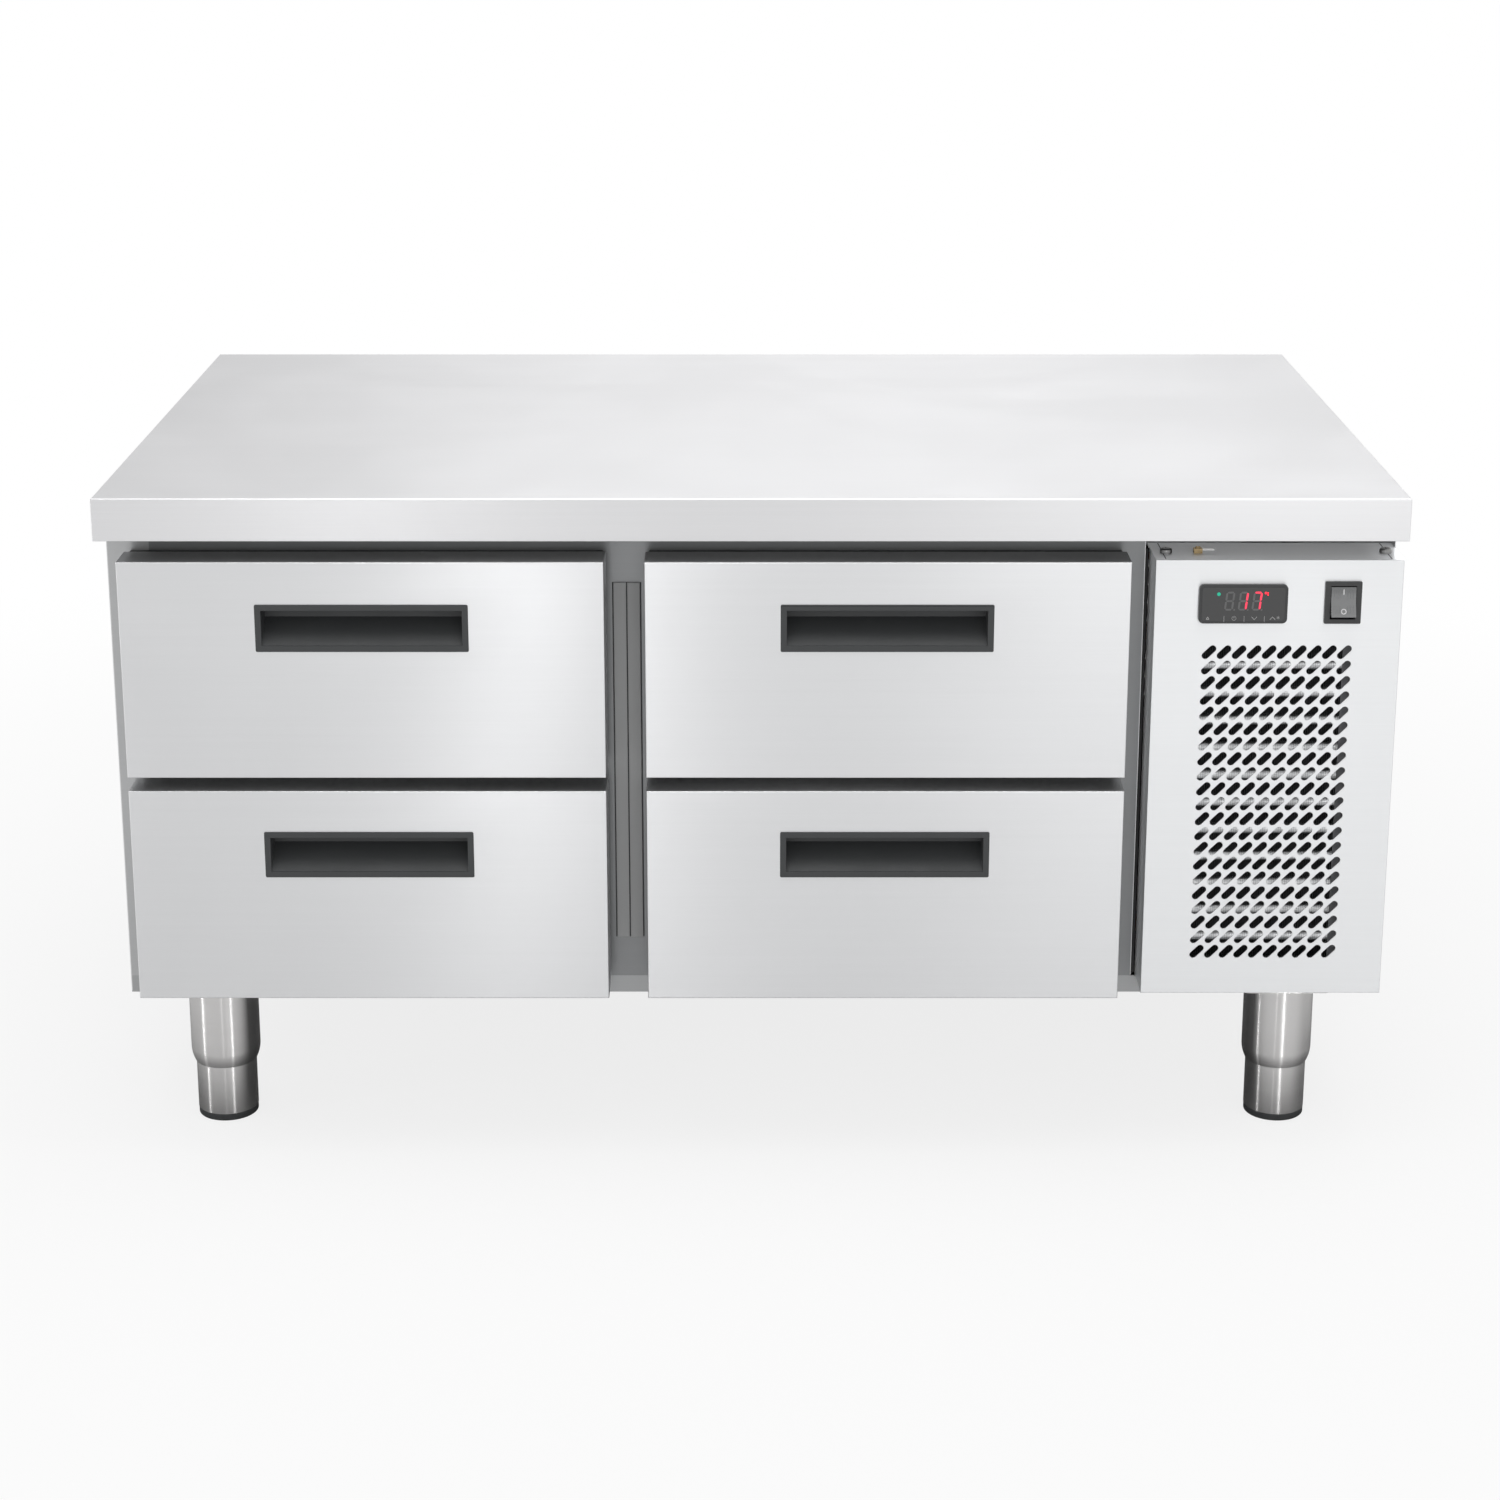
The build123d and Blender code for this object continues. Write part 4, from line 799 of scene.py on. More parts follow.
def softened_copy(node_name, material, radius, body="root"):
    """A copy of a CAD node with rounded edges."""
    mesh = cad_copy(node_name, f"{node_name}_soft", merge=True)
    piece = add_piece(f"{node_name}_piece", mesh, material, body=body, smooth=True,
                      replaces=[node_name])
    bevel = piece.modifiers.new("rounded edges", "BEVEL")
    bevel.width = radius
    bevel.segments = BEVEL_SEGMENTS
    bevel.limit_method = "ANGLE"
    bevel.angle_limit = BEVEL_ANGLE
    bevel.harden_normals = True


for drawer in DRAWERS:
    softened_copy(f"drawer_handle_{drawer}", "handle_plastic", HANDLE_EDGE, f"drawer_{drawer}")
    softened_copy(f"drawer_front_{drawer}", "front_steel", FRONT_EDGE, f"drawer_{drawer}")
softened_copy("worktop_skin", "worktop_steel", WORKTOP_EDGE)
softened_copy("controller_case", "controller_plastic", CASE_EDGE)
softened_copy("switch_housing", "switch_plastic", HOUSING_EDGE)
softened_copy("switch_rocker", "rocker_plastic", ROCKER_EDGE, "switch_rocker")

# %% [markdown]
# Legs
#
# Each leg is a welded tube with a square flange, and its lower end is drawn in along an arc
# to guide the foot. Turning a profile round the leg's own line gives an exact tube. Every leg
# is an object of its own, so that the direction of its grain runs round its own middle. Small
# hexagon heads hold the flange.

# %% Legs
FLANGE_SIZE = 88 * MM
FLANGE_THICKNESS = 3 * MM
FLANGE_CORNER = 8 * MM
LEG_RADIUS = 33.7 * MM
LEG_WALL = 1.6 * MM
WELD_BEAD = 1.6 * MM
STUD_RADIUS = 8 * MM
SHOULDER_LIFT = 5 * MM
SHOULDER_HEIGHT = 15 * MM
SHOULDER_STEPS = 12
SHOULDER_BEND = 3 * MM
END_LIP = 0.5 * MM
FOOT_PLAY = 0.3 * MM
AXIS_RADIUS = 0.1 * MM
HEAD_INSET = 9 * MM
HEAD_PROFILE = [(AXIS_RADIUS, -2 * MM), (4.6 * MM, -2 * MM), (5.2 * MM, -1.4 * MM),
                (5.2 * MM, 0)]
leg_low, leg_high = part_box("leg_tubes")
flange_bottom = leg_high.z - FLANGE_THICKNESS


def rounded_square(x, y, half, corner, steps=6):
    """The outline of a square with rounded corners."""
    ring = []
    for turn in range(4):
        sign_x = 1 if turn in (0, 3) else -1
        sign_y = 1 if turn in (0, 1) else -1
        for step in range(steps + 1):
            angle = math.pi / 2 * (turn + step / steps)
            ring.append((x + sign_x * (half - corner) + corner * math.cos(angle),
                         y + sign_y * (half - corner) + corner * math.sin(angle)))
    return ring


def leg_profile():
    """The wall of the tube, from its top inside to its top outside, with the weld bead."""
    shoulder_bottom = leg_low.z + SHOULDER_LIFT
    shoulder_top = shoulder_bottom + SHOULDER_HEIGHT
    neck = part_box("foot_front_left")[1].x - centre_of("foot_front_left").x + FOOT_PLAY
    profile = rounded(
        [(LEG_RADIUS - LEG_WALL, flange_bottom),
         (LEG_RADIUS - LEG_WALL, shoulder_top + LEG_WALL),
         (neck, shoulder_bottom + LEG_WALL * 2), (neck, shoulder_bottom)],
        [0, SHOULDER_BEND, 0, 0])
    drop = LEG_RADIUS - neck - END_LIP
    curve = (SHOULDER_HEIGHT ** 2 + drop ** 2) / (2 * drop)
    steepest = math.asin(SHOULDER_HEIGHT / curve)
    for step in range(SHOULDER_STEPS + 1):
        angle = steepest * (1 - step / SHOULDER_STEPS)
        profile.append((LEG_RADIUS - curve * (1 - math.cos(angle)),
                        shoulder_top - curve * math.sin(angle)))
    return profile + [(LEG_RADIUS, flange_bottom - WELD_BEAD),
                      (LEG_RADIUS + WELD_BEAD, flange_bottom)]


def leg_parts(x, y):
    """A leg: tube with a drawn-in end and its weld, flange, stud and screws."""
    half = FLANGE_SIZE / 2
    stud = [(STUD_RADIUS, leg_low.z), (STUD_RADIUS, flange_bottom)]
    parts = [lathe_part(leg_profile(), (x, y, 0), sides=128, closed=True),
             prism_part(rounded_square(x, y, half, FLANGE_CORNER), flange_bottom, leg_high.z),
             lathe_part(stud, (x, y, 0), sides=32)]
    for sign_x in (-1, 1):
        for sign_y in (-1, 1):
            place = (x + sign_x * (half - HEAD_INSET), y + sign_y * (half - HEAD_INSET),
                     flange_bottom)
            parts.append(lathe_part(HEAD_PROFILE, place, sides=6))
    return parts


for foot in FEET:
    spot = centre_of(f"foot_{foot}")
    add_piece(f"leg_{foot}", leg_parts(spot.x, spot.y), "leg_steel", smooth=True,
              replaces=["leg_tubes"])
print("legs 4, tube radius", LEG_RADIUS)

# %% [markdown]
# Feet
#
# A steel sleeve slides in the leg, and a black pad closes its lower end. The pad's lower edge
# is rounded, so the foot seems to stand on a thin dark line. Sleeve and pad are two pieces,
# because they are two materials.

# %% Feet
PAD_HEIGHT = 7 * MM
PAD_INSET = 0.3 * MM
PAD_RING = 8 * MM
PAD_RING_STEP = 1 * MM
PAD_RECESS = 0.8 * MM
PAD_ROUNDING = [0, 0.4 * MM, 0.3 * MM, 1.4 * MM, 0.4 * MM, 0]
SLEEVE_WALL = 1.5 * MM
SLEEVE_TOP = 5 * MM
SLEEVE_ROUNDING = [0, 0.6 * MM, 0.8 * MM, 0]


def foot_pieces(foot):
    """The sleeve and the pad of one foot."""
    low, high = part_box(f"foot_{foot}")
    centre = ((low.x + high.x) / 2, (low.y + high.y) / 2, 0)
    radius = (high.x - low.x) / 2
    bore = STUD_RADIUS + FOOT_PLAY
    pad_top = low.z + PAD_HEIGHT
    sleeve = rounded([(radius - SLEEVE_WALL, pad_top), (radius, pad_top), (radius, high.z),
                      (bore, high.z)], SLEEVE_ROUNDING)
    sleeve += [(bore, high.z - SLEEVE_TOP), (radius - SLEEVE_WALL, high.z - SLEEVE_TOP)]
    add_piece(f"foot_sleeve_{foot}", [lathe_part(sleeve, centre, sides=128, closed=True)],
              "leg_steel", body=f"foot_{foot}", smooth=True, replaces=[f"foot_{foot}"])
    rim = radius - PAD_INSET
    inner = rim - PAD_RING
    pad = rounded([(AXIS_RADIUS, low.z + PAD_RECESS), (inner - PAD_RING_STEP, low.z + PAD_RECESS),
                   (inner, low.z), (rim, low.z), (rim, pad_top), (AXIS_RADIUS, pad_top)],
                  PAD_ROUNDING)
    add_piece(f"foot_pad_{foot}", [lathe_part(pad, centre)], "pad_rubber", "gasket_rubber",
              f"foot_{foot}", smooth=True, replaces=[f"foot_{foot}"])


for foot in FEET:
    foot_pieces(foot)
print("feet 4")

# %% [markdown]
# Door gaskets
#
# A magnetic gasket is a soft extrusion: a foot that snaps into the front, two bellows that let
# it stretch, and a flat sleeve with the magnet that lies on the frame. The four lengths are
# welded at mitred corners. So one outline is enough, carried round the rectangle: at each
# corner all four points of the same rank lie on the mitre.

# %% Door gaskets
GASKET_WIDTH = 14 * MM
GASKET_HALF_OUTLINE_SHARES = [
    (0.44, 0.00), (0.44, 0.10), (0.17, 0.14), (0.17, 0.21), (0.44, 0.30), (0.44, 0.36),
    (0.14, 0.44), (0.14, 0.52), (0.44, 0.60), (0.50, 0.66), (0.50, 0.96), (0.47, 1.00)]


def gasket_part(low, high):
    """The bellows outline, carried round the drawer front."""
    outline = [(0.5 - a, b) for a, b in GASKET_HALF_OUTLINE_SHARES]
    outline += [(0.5 + a, b) for a, b in reversed(GASKET_HALF_OUTLINE_SHARES)]
    points = []
    for sign_x, sign_z in ((-1, -1), (1, -1), (1, 1), (-1, 1)):
        corner_x = low.x if sign_x < 0 else high.x
        corner_z = low.z if sign_z < 0 else high.z
        for a, b in outline:
            inset = a * GASKET_WIDTH
            points.append((corner_x - sign_x * inset, low.y + b * (high.y - low.y),
                           corner_z - sign_z * inset))
    return points, band_faces(4, len(outline), closed=True)


for drawer in DRAWERS:
    gasket = gasket_part(*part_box(f"drawer_gasket_{drawer}"))
    add_piece(f"gasket_{drawer}", [gasket], "gasket_rubber", body=f"drawer_{drawer}",
              smooth=True, replaces=[f"drawer_gasket_{drawer}"])
print("gaskets 4")

# %% [markdown]
# Frame and mullion strip
#
# The frame is one steel all round; its colour carries painted shade. The left stile, the folded
# edge of the outer casing, gets a lighter copy of the steel, and the other bars, which lie deep
# between the drawer fronts, a darker copy. They are one CAD mesh, which is parted by place. The
# mullion carries a plastic strip that keeps the cold in: two flat bands, each an extrusion with
# rounded front edges. Thin black strips between and beside the bands are painted shade in the
# strip's grooves.

# %% Frame and mullion strip
LEFT_STILE_END = -0.53
SHADE_LINE_WIDTH = 1.0 * MM
SHADE_LINE_INSET = 0.7 * MM
BAND_EDGE = 0.6 * MM


def in_left_stile(centre):
    """True for faces of the left stile."""
    return centre.x < LEFT_STILE_END


def in_other_bars(centre):
    """True for faces of the other bars."""
    return not in_left_stile(centre)


# Painted shade: the stile and the other bars get a lighter and a darker copy of one steel.
add_piece("left_stile", cad_copy("front_frame", "left_stile", in_left_stile), "stile_steel_painted_shade",
          "frame_steel", replaces=["front_frame"])
add_piece("frame_bars", cad_copy("front_frame", "frame_bars", in_other_bars), "frame_steel",
          replaces=["front_frame"])

strip_low, strip_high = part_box("mullion_cover")
shade_line_places = [strip_low.x + SHADE_LINE_WIDTH / 2, (strip_low.x + strip_high.x) / 2,
              strip_high.x - SHADE_LINE_WIDTH / 2]
bands = []
for left, right in zip(shade_line_places, shade_line_places[1:]):
    x0, x1 = left + SHADE_LINE_WIDTH / 2, right - SHADE_LINE_WIDTH / 2
    outline = rounded([(x0, strip_high.y), (x0, strip_low.y), (x1, strip_low.y),
                       (x1, strip_high.y)], [0, BAND_EDGE, BAND_EDGE, 0])
    bands.append(prism_part(outline, strip_low.z, strip_high.z))
add_piece("mullion_strip", bands, "cover_plastic", smooth=True, replaces=["mullion_cover"])
# Painted shade: black strips between and beside the bands stand for the shadow in the grooves.
shade_lines = [box_part(x - SHADE_LINE_WIDTH / 2, x + SHADE_LINE_WIDTH / 2, strip_low.y + SHADE_LINE_INSET, strip_high.y,
                 strip_low.z, strip_high.z) for x in shade_line_places]
add_piece("mullion_painted_shade_lines", shade_lines, "gasket_rubber", "cover_plastic", replaces=["mullion_cover"])
print("frame pieces 2, strip bands", len(bands), "shade_lines", len(shade_lines))

# %% [markdown]
# Coils
#
# A coil is a pair of tubes that wind up and down through a stack of thin aluminium fins. Each
# fin is a sheet of its own, pressed into waves, with dark gaps between the sheets: this is the
# fine upright pattern behind the slots. Bright collars of the fins cover the tubes. The tube
# itself is one long path, straight runs with half circles at the ends. The condenser's front
# row stands half a step lower than its rear row, so that the air meets every tube, and its end
# plates are folded out in front of the tube bends, so that no air slips past the fins.

# %% Coil parts
TUBE_RADIUS = 4.8 * MM
TUBE_STUB = 6 * MM
COLLAR_WALL = 0.2 * MM
HEADER_RADIUS = 5.5 * MM
PLATE_THICKNESS = 1.5 * MM
PLATE_FOLD = 8 * MM
PLATE_FOLD_THICKNESS = 0.35 * MM
FIN_WAVES = 6
FIN_THICKNESS = 0.16 * MM
FIN_WAVE = 0.3 * MM


def fin_part(x, y0, y1, z0, z1):
    """One fin: an upright sheet that waves a little along its depth."""
    steps = FIN_WAVES * 2
    line = [(x + (FIN_WAVE if i % 2 else -FIN_WAVE), y0 + (y1 - y0) * i / steps)
            for i in range(steps + 1)]
    half = FIN_THICKNESS / 2
    ring = [(px - half, py) for px, py in line] + [(px + half, py) for px, py in reversed(line)]
    count = len(ring)
    points = [(*p, z) for z in (z0, z1) for p in ring]
    faces = band_faces(2, count)
    for base in (0, count):
        faces += [(base + i, base + i + 1, base + count - 2 - i, base + count - 1 - i)
                  for i in range(steps)]
    return points, faces


def serpentine(y, heights, ends, turns=10):
    """The line of one tube row: runs between two ends, joined by half circles."""
    line = []
    for rank, z in enumerate(heights):
        run = [(ends[0], y, z), (ends[1], y, z)]
        if rank % 2:
            run.reverse()
        line += run
        if rank < len(heights) - 1:
            radius = (heights[rank + 1] - z) / 2
            side = 1 if run[1][0] > run[0][0] else -1
            for step in range(1, turns):
                angle = math.pi * step / turns
                line.append((run[1][0] + side * radius * math.sin(angle), y,
                             z + radius - radius * math.cos(angle)))
    return line


def even_places(low, high, pitch, count):
    """Places that are evenly spread about the middle of a range."""
    start = (low + high) / 2 - pitch * (count - 1) / 2
    return [start + pitch * rank for rank in range(count)]


print("coil parts ready")

# %% [markdown]
# The two coils
#
# The condenser and the evaporator are the same kind of coil in two sizes. So one function
# makes both: the fins, the collars, the tubes with their headers, and the two end plates. Both
# coils fill their CAD boxes, less what the tube bends need at the ends.

# %% The two coils
CONDENSER_PITCH = 27 * MM
CONDENSER_FIN_PITCH = 2.1 * MM
CONDENSER_RIM = 6 * MM
FRONT_ROW_GAP = 0.4 * MM
EVAPORATOR_PITCH = 25 * MM
EVAPORATOR_FIN_PITCH = 4.2 * MM
EVAPORATOR_WIDTH = 260 * MM


def add_coil(name, box, rows, pitch, fin_pitch, header_side, fold=PLATE_FOLD, stagger=0.0):
    """All pieces of one coil; returns the heights of its tubes."""
    node = f"{name}_coil"
    x0, x1, y0, y1, z0, z1 = box
    places = even_places(x0, x1, fin_pitch, int((x1 - x0 - 2 * PLATE_THICKNESS) / fin_pitch))
    tube_count = int((z1 - z0 - pitch / 2) / pitch) // 2 * 2
    heights = even_places(z0, z1, pitch, tube_count)
    levels = {rows[0]: [z - stagger for z in heights], rows[1]: heights}
    add_piece(f"{name}_fins", [fin_part(x, y0, y1, z0, z1) for x in places], "fin_aluminium",
              "coil_aluminium", replaces=[node])
    sleeve = [(TUBE_RADIUS + COLLAR_WALL, x0), (TUBE_RADIUS + COLLAR_WALL, x1)]
    collars = [lathe_part(sleeve, (0, y, z), axis="X", sides=24) for y in rows for z in levels[y]]
    add_piece(f"{name}_collars", collars, "collar_aluminium", "coil_aluminium", smooth=True,
              replaces=[node])
    ends = (x0 - TUBE_STUB, x1 + TUBE_STUB)[::-header_side]
    tubes = [tube_part(serpentine(y, levels[y], ends), TUBE_RADIUS, sides=16) for y in rows]
    for z in (heights[0], heights[-1]):
        line = [(ends[0], rows[0] - TUBE_STUB, z - stagger), (ends[0], rows[1] + TUBE_STUB, z)]
        tubes.append(tube_part(line, HEADER_RADIUS, sides=24))
    add_piece(f"{name}_tubes", tubes, "copper", smooth=True, replaces=[node])
    low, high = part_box(node)
    plates = []
    for x, side in ((x0, -1), (x1 - PLATE_THICKNESS, 1)):
        plates.append(box_part(x, x + PLATE_THICKNESS, low.y, high.y, low.z, high.z))
        edge = x if side < 0 else x + PLATE_THICKNESS
        plates.append(box_part(*sorted((edge, edge + side * fold)), low.y,
                               low.y + PLATE_FOLD_THICKNESS, low.z, high.z))
    add_piece(f"{name}_plates", plates, "fin_aluminium", "coil_aluminium", replaces=[node])
    print(name, "fins", len(places), "tube runs", len(heights) * len(rows))
    return heights


low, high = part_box("condenser_coil")
reach = CONDENSER_PITCH / 2 + TUBE_RADIUS + TUBE_STUB
condenser_box = (low.x + reach, high.x - reach, low.y, high.y, low.z + CONDENSER_RIM,
                 high.z - CONDENSER_RIM)
condenser_rows = (low.y + TUBE_RADIUS + FRONT_ROW_GAP, high.y - (high.y - low.y) / 4)
condenser_heights = add_coil("condenser", condenser_box, condenser_rows, CONDENSER_PITCH,
                             CONDENSER_FIN_PITCH, -1, fold=reach, stagger=CONDENSER_PITCH / 2)

low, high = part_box("evaporator_coil")
reach = EVAPORATOR_PITCH / 2 + TUBE_RADIUS + TUBE_STUB
depth = high.y - low.y - TUBE_RADIUS
evaporator_box = (low.x + reach, low.x + reach + EVAPORATOR_WIDTH, low.y, low.y + depth,
                  low.z, high.z)
evaporator_rows = (low.y + depth / 4, low.y + depth * 3 / 4)
evaporator_heights = add_coil("evaporator", evaporator_box, evaporator_rows, EVAPORATOR_PITCH,
                              EVAPORATOR_FIN_PITCH, 1)

# %% [markdown]
# Pipe joints
#
# Short straight pipes lead from the coils' headers to the refrigerant pipes. They are the
# places where the fitter brazes. Each is a turned cylinder between the header and the pipe.

# %% Pipe joints
JOINT_CLEARANCE = 1.7 * MM
joint_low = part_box("condenser_coil")[0].x + TUBE_RADIUS + JOINT_CLEARANCE
joint_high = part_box("evaporator_coil")[1].x
joint_ends = [
    (joint_low, condenser_box[0] - TUBE_STUB, condenser_rows[1], condenser_heights[0]),
    (joint_low, condenser_box[0] - TUBE_STUB, condenser_rows[1], condenser_heights[-1]),
    (evaporator_box[1] + TUBE_STUB, joint_high, evaporator_rows[0], evaporator_heights[-1]),
    (evaporator_box[1] + TUBE_STUB, joint_high, evaporator_rows[1], evaporator_heights[0])]
joints = [lathe_part([(TUBE_RADIUS, x0), (TUBE_RADIUS, x1)], (0, y, z), axis="X", sides=24)
          for x0, x1, y, z in joint_ends]
add_piece("coil_joints", joints, "copper", smooth=True)

# %% [markdown]
# Fans
#
# A moulded fan has curved blades: each is a thin arched sheet that is steep at the hub and
# flatter towards the tip, because the tip moves faster. The blade is a small grid of points,
# set by its distance from the axle and its place along the blade, and then given a thickness.

# %% Fans
BLADE_THICKNESS = 1.4 * MM
BLADE_STEPS = 8
BLADE_ROOT = 1 * MM
ROOT_PITCH = 0.86
TIP_PITCH = 0.62
BLADE_SPREAD = 5.2
TIP_NARROWING = 0.25
TIP_SWEEP = 0.16
BLADE_ARCH = 0.12
HUB_DOME = 5 * MM
HUB_EDGE = 1 * MM
# Each fan: its node, the node that holds its axle, the radii of hub, tip and bore, and the
# number of blades.
FANS = [("condenser_fan", "condenser_fan_motor", 24 * MM, 76.5 * MM, 3.05 * MM, 5),
        ("evaporator_fan", "evaporator_fan_frame", 30 * MM, 55.2 * MM, 2.55 * MM, 7)]


def blade_part(centre, hub_radius, tip_radius, depth, turn, spread):
    """One curved blade that turns about a line along Y."""
    front, rear = [], []
    steps, side = BLADE_STEPS, BLADE_STEPS + 1
    for i in range(side):
        out = i / steps
        radius = hub_radius - BLADE_ROOT + (tip_radius - hub_radius + BLADE_ROOT) * out
        pitch = ROOT_PITCH + (TIP_PITCH - ROOT_PITCH) * out
        for j in range(side):
            along = j / steps - 0.5
            sweep = turn + spread * along * (1 - TIP_NARROWING * out) + TIP_SWEEP * out
            arch = BLADE_ARCH * depth * (1 - 4 * along * along)
            x = centre[0] + radius * math.cos(sweep)
            y = centre[1] + along * depth * pitch - arch
            z = centre[2] + radius * math.sin(sweep)
            front.append((x, y - BLADE_THICKNESS / 2, z))
            rear.append((x, y + BLADE_THICKNESS / 2, z))
    offset = len(front)
    faces = []
    for i in range(steps):
        for j in range(steps):
            a, b = i * side + j, i * side + j + 1
            c, d = b + side, a + side
            faces += [(a, b, c, d), (offset + a, offset + d, offset + c, offset + b)]
    rim = ([i * side for i in range(side)] + [steps * side + j for j in range(1, side)]
           + [i * side + steps for i in range(steps - 1, -1, -1)]
           + [j for j in range(steps - 1, 0, -1)])
    faces += [(a, b, offset + b, offset + a) for a, b in zip(rim, rim[1:] + rim[:1])]
    return front + rear, faces


def add_fan(node, holder, hub_radius, tip_radius, bore_radius, blades):
    """A domed hub and its blades, in line with what holds the axle."""
    low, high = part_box(node)
    axle = centre_of(holder)
    hub = rounded([(bore_radius, low.y), (hub_radius, low.y), (hub_radius, high.y),
                   (bore_radius, high.y)], [0, HUB_DOME, HUB_EDGE, 0])
    parts = [lathe_part(hub, (axle.x, 0, axle.z), axis="Y", sides=64, closed=True)]
    for rank in range(blades):
        parts.append(blade_part((axle.x, centre_of(node).y, axle.z), hub_radius, tip_radius,
                                high.y - low.y, 2 * math.pi * rank / blades,
                                BLADE_SPREAD / blades))
    add_piece(f"{node}_rotor", parts, "fan_plastic", body=node, smooth=True, replaces=[node])


for row in FANS:
    add_fan(*row)
print("fans", len(FANS))

# %% [markdown]
# Fan guard
#
# A wire guard keeps fingers out of the evaporator fan. It is welded from rings and spokes of
# round wire, stands a few millimetres in front of the housing, and is held by four feet.

# %% Fan guard
WIRE_RADIUS = 0.8 * MM
GUARD_RADIUS = 59 * MM
GUARD_STANDOFF = 3 * MM
GUARD_RING_SHARES = (0.26, 0.44, 0.62, 0.80, 1.0)
SPOKE_BEND = 4 * MM
SPOKE_FOOT = (1.5 * MM, 0.6 * MM)
SPOKE_END = (6 * MM, 0.7 * MM)


def guard_parts():
    """Rings, and spokes with their feet."""
    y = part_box("evaporator_housing")[0].y - GUARD_STANDOFF
    hole = centre_of("evaporator_fan_frame")
    parts = []
    for share in GUARD_RING_SHARES:
        ring = [(x, y, z) for x, z in circle(hole.x, hole.z, GUARD_RADIUS * share, 64)]
        parts.append(tube_part(ring, WIRE_RADIUS, sides=8, loop=True))
    start = Vector((hole.x, y + WIRE_RADIUS * 1.6, hole.z))
    outer = GUARD_RADIUS + SPOKE_BEND
    bends = [(GUARD_RADIUS * GUARD_RING_SHARES[0], 0), (outer, 0),
             (outer + SPOKE_FOOT[0], SPOKE_FOOT[1]), (outer + SPOKE_END[0], SPOKE_END[1])]
    for rank in range(4):
        angle = math.pi / 4 + math.pi / 2 * rank
        way = Vector((math.cos(angle), 0, math.sin(angle)))
        line = [start + way * out + Vector((0, back, 0)) for out, back in bends]
        parts.append(tube_part(line, WIRE_RADIUS, sides=8))
    return parts


add_piece("fan_guard", guard_parts(), "slide_steel", "screw_steel", smooth=True)
print("fan guard rings", len(GUARD_RING_SHARES))

# %% [markdown]
# Controller display
#
# Behind the smoked window sit three slanted digits of seven segments each. The unlit segments
# still show as faint grey bars, the lit ones glow red. Each segment is a thin hexagonal
# plate, drawn from the digit's own width and height, and laid on the window. Places on the
# controller are measured from its left and top edges, as on a drawing of its face.

# %% Drawing on the controller
PRINT_RISE = 0.05 * MM
STROKE_OVERLAP = 0.2
bezel_low, bezel_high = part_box("controller_case")
window_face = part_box("controller_window")[0].y


def printed(outline):
    """A thin plate on the window; its outline is measured on the controller."""
    shape = [(bezel_low.x + x, bezel_high.z - down) for x, down in outline]
    return prism_part(shape, window_face - PRINT_RISE, window_face + PRINT_RISE, axis="Y")


def stroke_parts(points, width, closed=False):
    """A line of short plates along points."""
    line = [Vector(p) for p in points]
    if closed:
        line.append(line[0])
    parts = []
    for start, end in zip(line, line[1:]):
        ahead = (end - start).normalized()
        side = Vector((-ahead.y, ahead.x)) * width / 2
        reach = ahead * width * STROKE_OVERLAP
        parts.append(printed([start - reach + side, end + reach + side, end + reach - side,
                              start - reach - side]))
    return parts


def arc_points(x, down, radius, start, end, steps=14):
    """Points on an arc; angles in degrees, clockwise from straight up."""
    angles = [math.radians(start + (end - start) * i / steps) for i in range(steps + 1)]
    return [(x + radius * math.sin(a), down - radius * math.cos(a)) for a in angles]


print("window at", round(window_face, 4))

# %% [markdown]
# Digits and lamp
#
# A digit's corners have names: top, middle and bottom, left and right. Each of its seven
# segments runs between two of them. The display reads 17 with a small sign for degrees.

# %% Digits and lamp
DIGIT_WIDTH = 8.2 * MM
DIGIT_HEIGHT = 18 * MM
DIGIT_TOP = 6.5 * MM
DIGIT_LEFTS = (22.8 * MM, 35.3 * MM, 48.0 * MM)
DIGIT_SLANT = math.tan(math.radians(6))
SEGMENT_WIDTH = 1.75 * MM
SEGMENT_GAP = 0.25 * MM
SEGMENT_ENDS = {"a": ("tl", "tr"), "b": ("tr", "mr"), "c": ("mr", "br"), "d": ("bl", "br"),
                "e": ("ml", "bl"), "f": ("tl", "ml"), "g": ("ml", "mr")}
LIT_SEGMENTS = ("", "bc", "abc")
DOT_PLACE = (2.1 * MM, 0.2 * MM)
DOT_RADIUS = 0.8 * MM
# Two arcs: x, down, radius, start, end; and the width of their line.
DEGREE_ARCS = [((60.9 * MM, 7.8 * MM, 0.8 * MM, 0, 360), 0.6 * MM),
               ((64.2 * MM, 8.7 * MM, 1.7 * MM, -40, -140), 0.9 * MM)]
LAMP_PLACE = (17.8 * MM, 8.9 * MM)
LAMP_RADIUS = 1.7 * MM
LAMP_RISE = 0.12 * MM


def segment_outline(start, end):
    """A bar with pointed ends between two points of a digit."""
    ahead = (end - start).normalized()
    side = Vector((-ahead.y, ahead.x)) * SEGMENT_WIDTH / 2
    near, far = start + ahead * SEGMENT_GAP, end - ahead * SEGMENT_GAP
    tip = ahead * SEGMENT_WIDTH / 2
    return [near, near + tip + side, far - tip + side, far, far - tip - side, near + tip - side]


def slanted_plate(left, outline):
    """A plate whose outline is measured right and down from a digit's top left corner."""
    return printed([(left + SEGMENT_WIDTH / 2 + x + (DIGIT_HEIGHT - down) * DIGIT_SLANT,
                     DIGIT_TOP + SEGMENT_WIDTH / 2 + down) for x, down in outline])


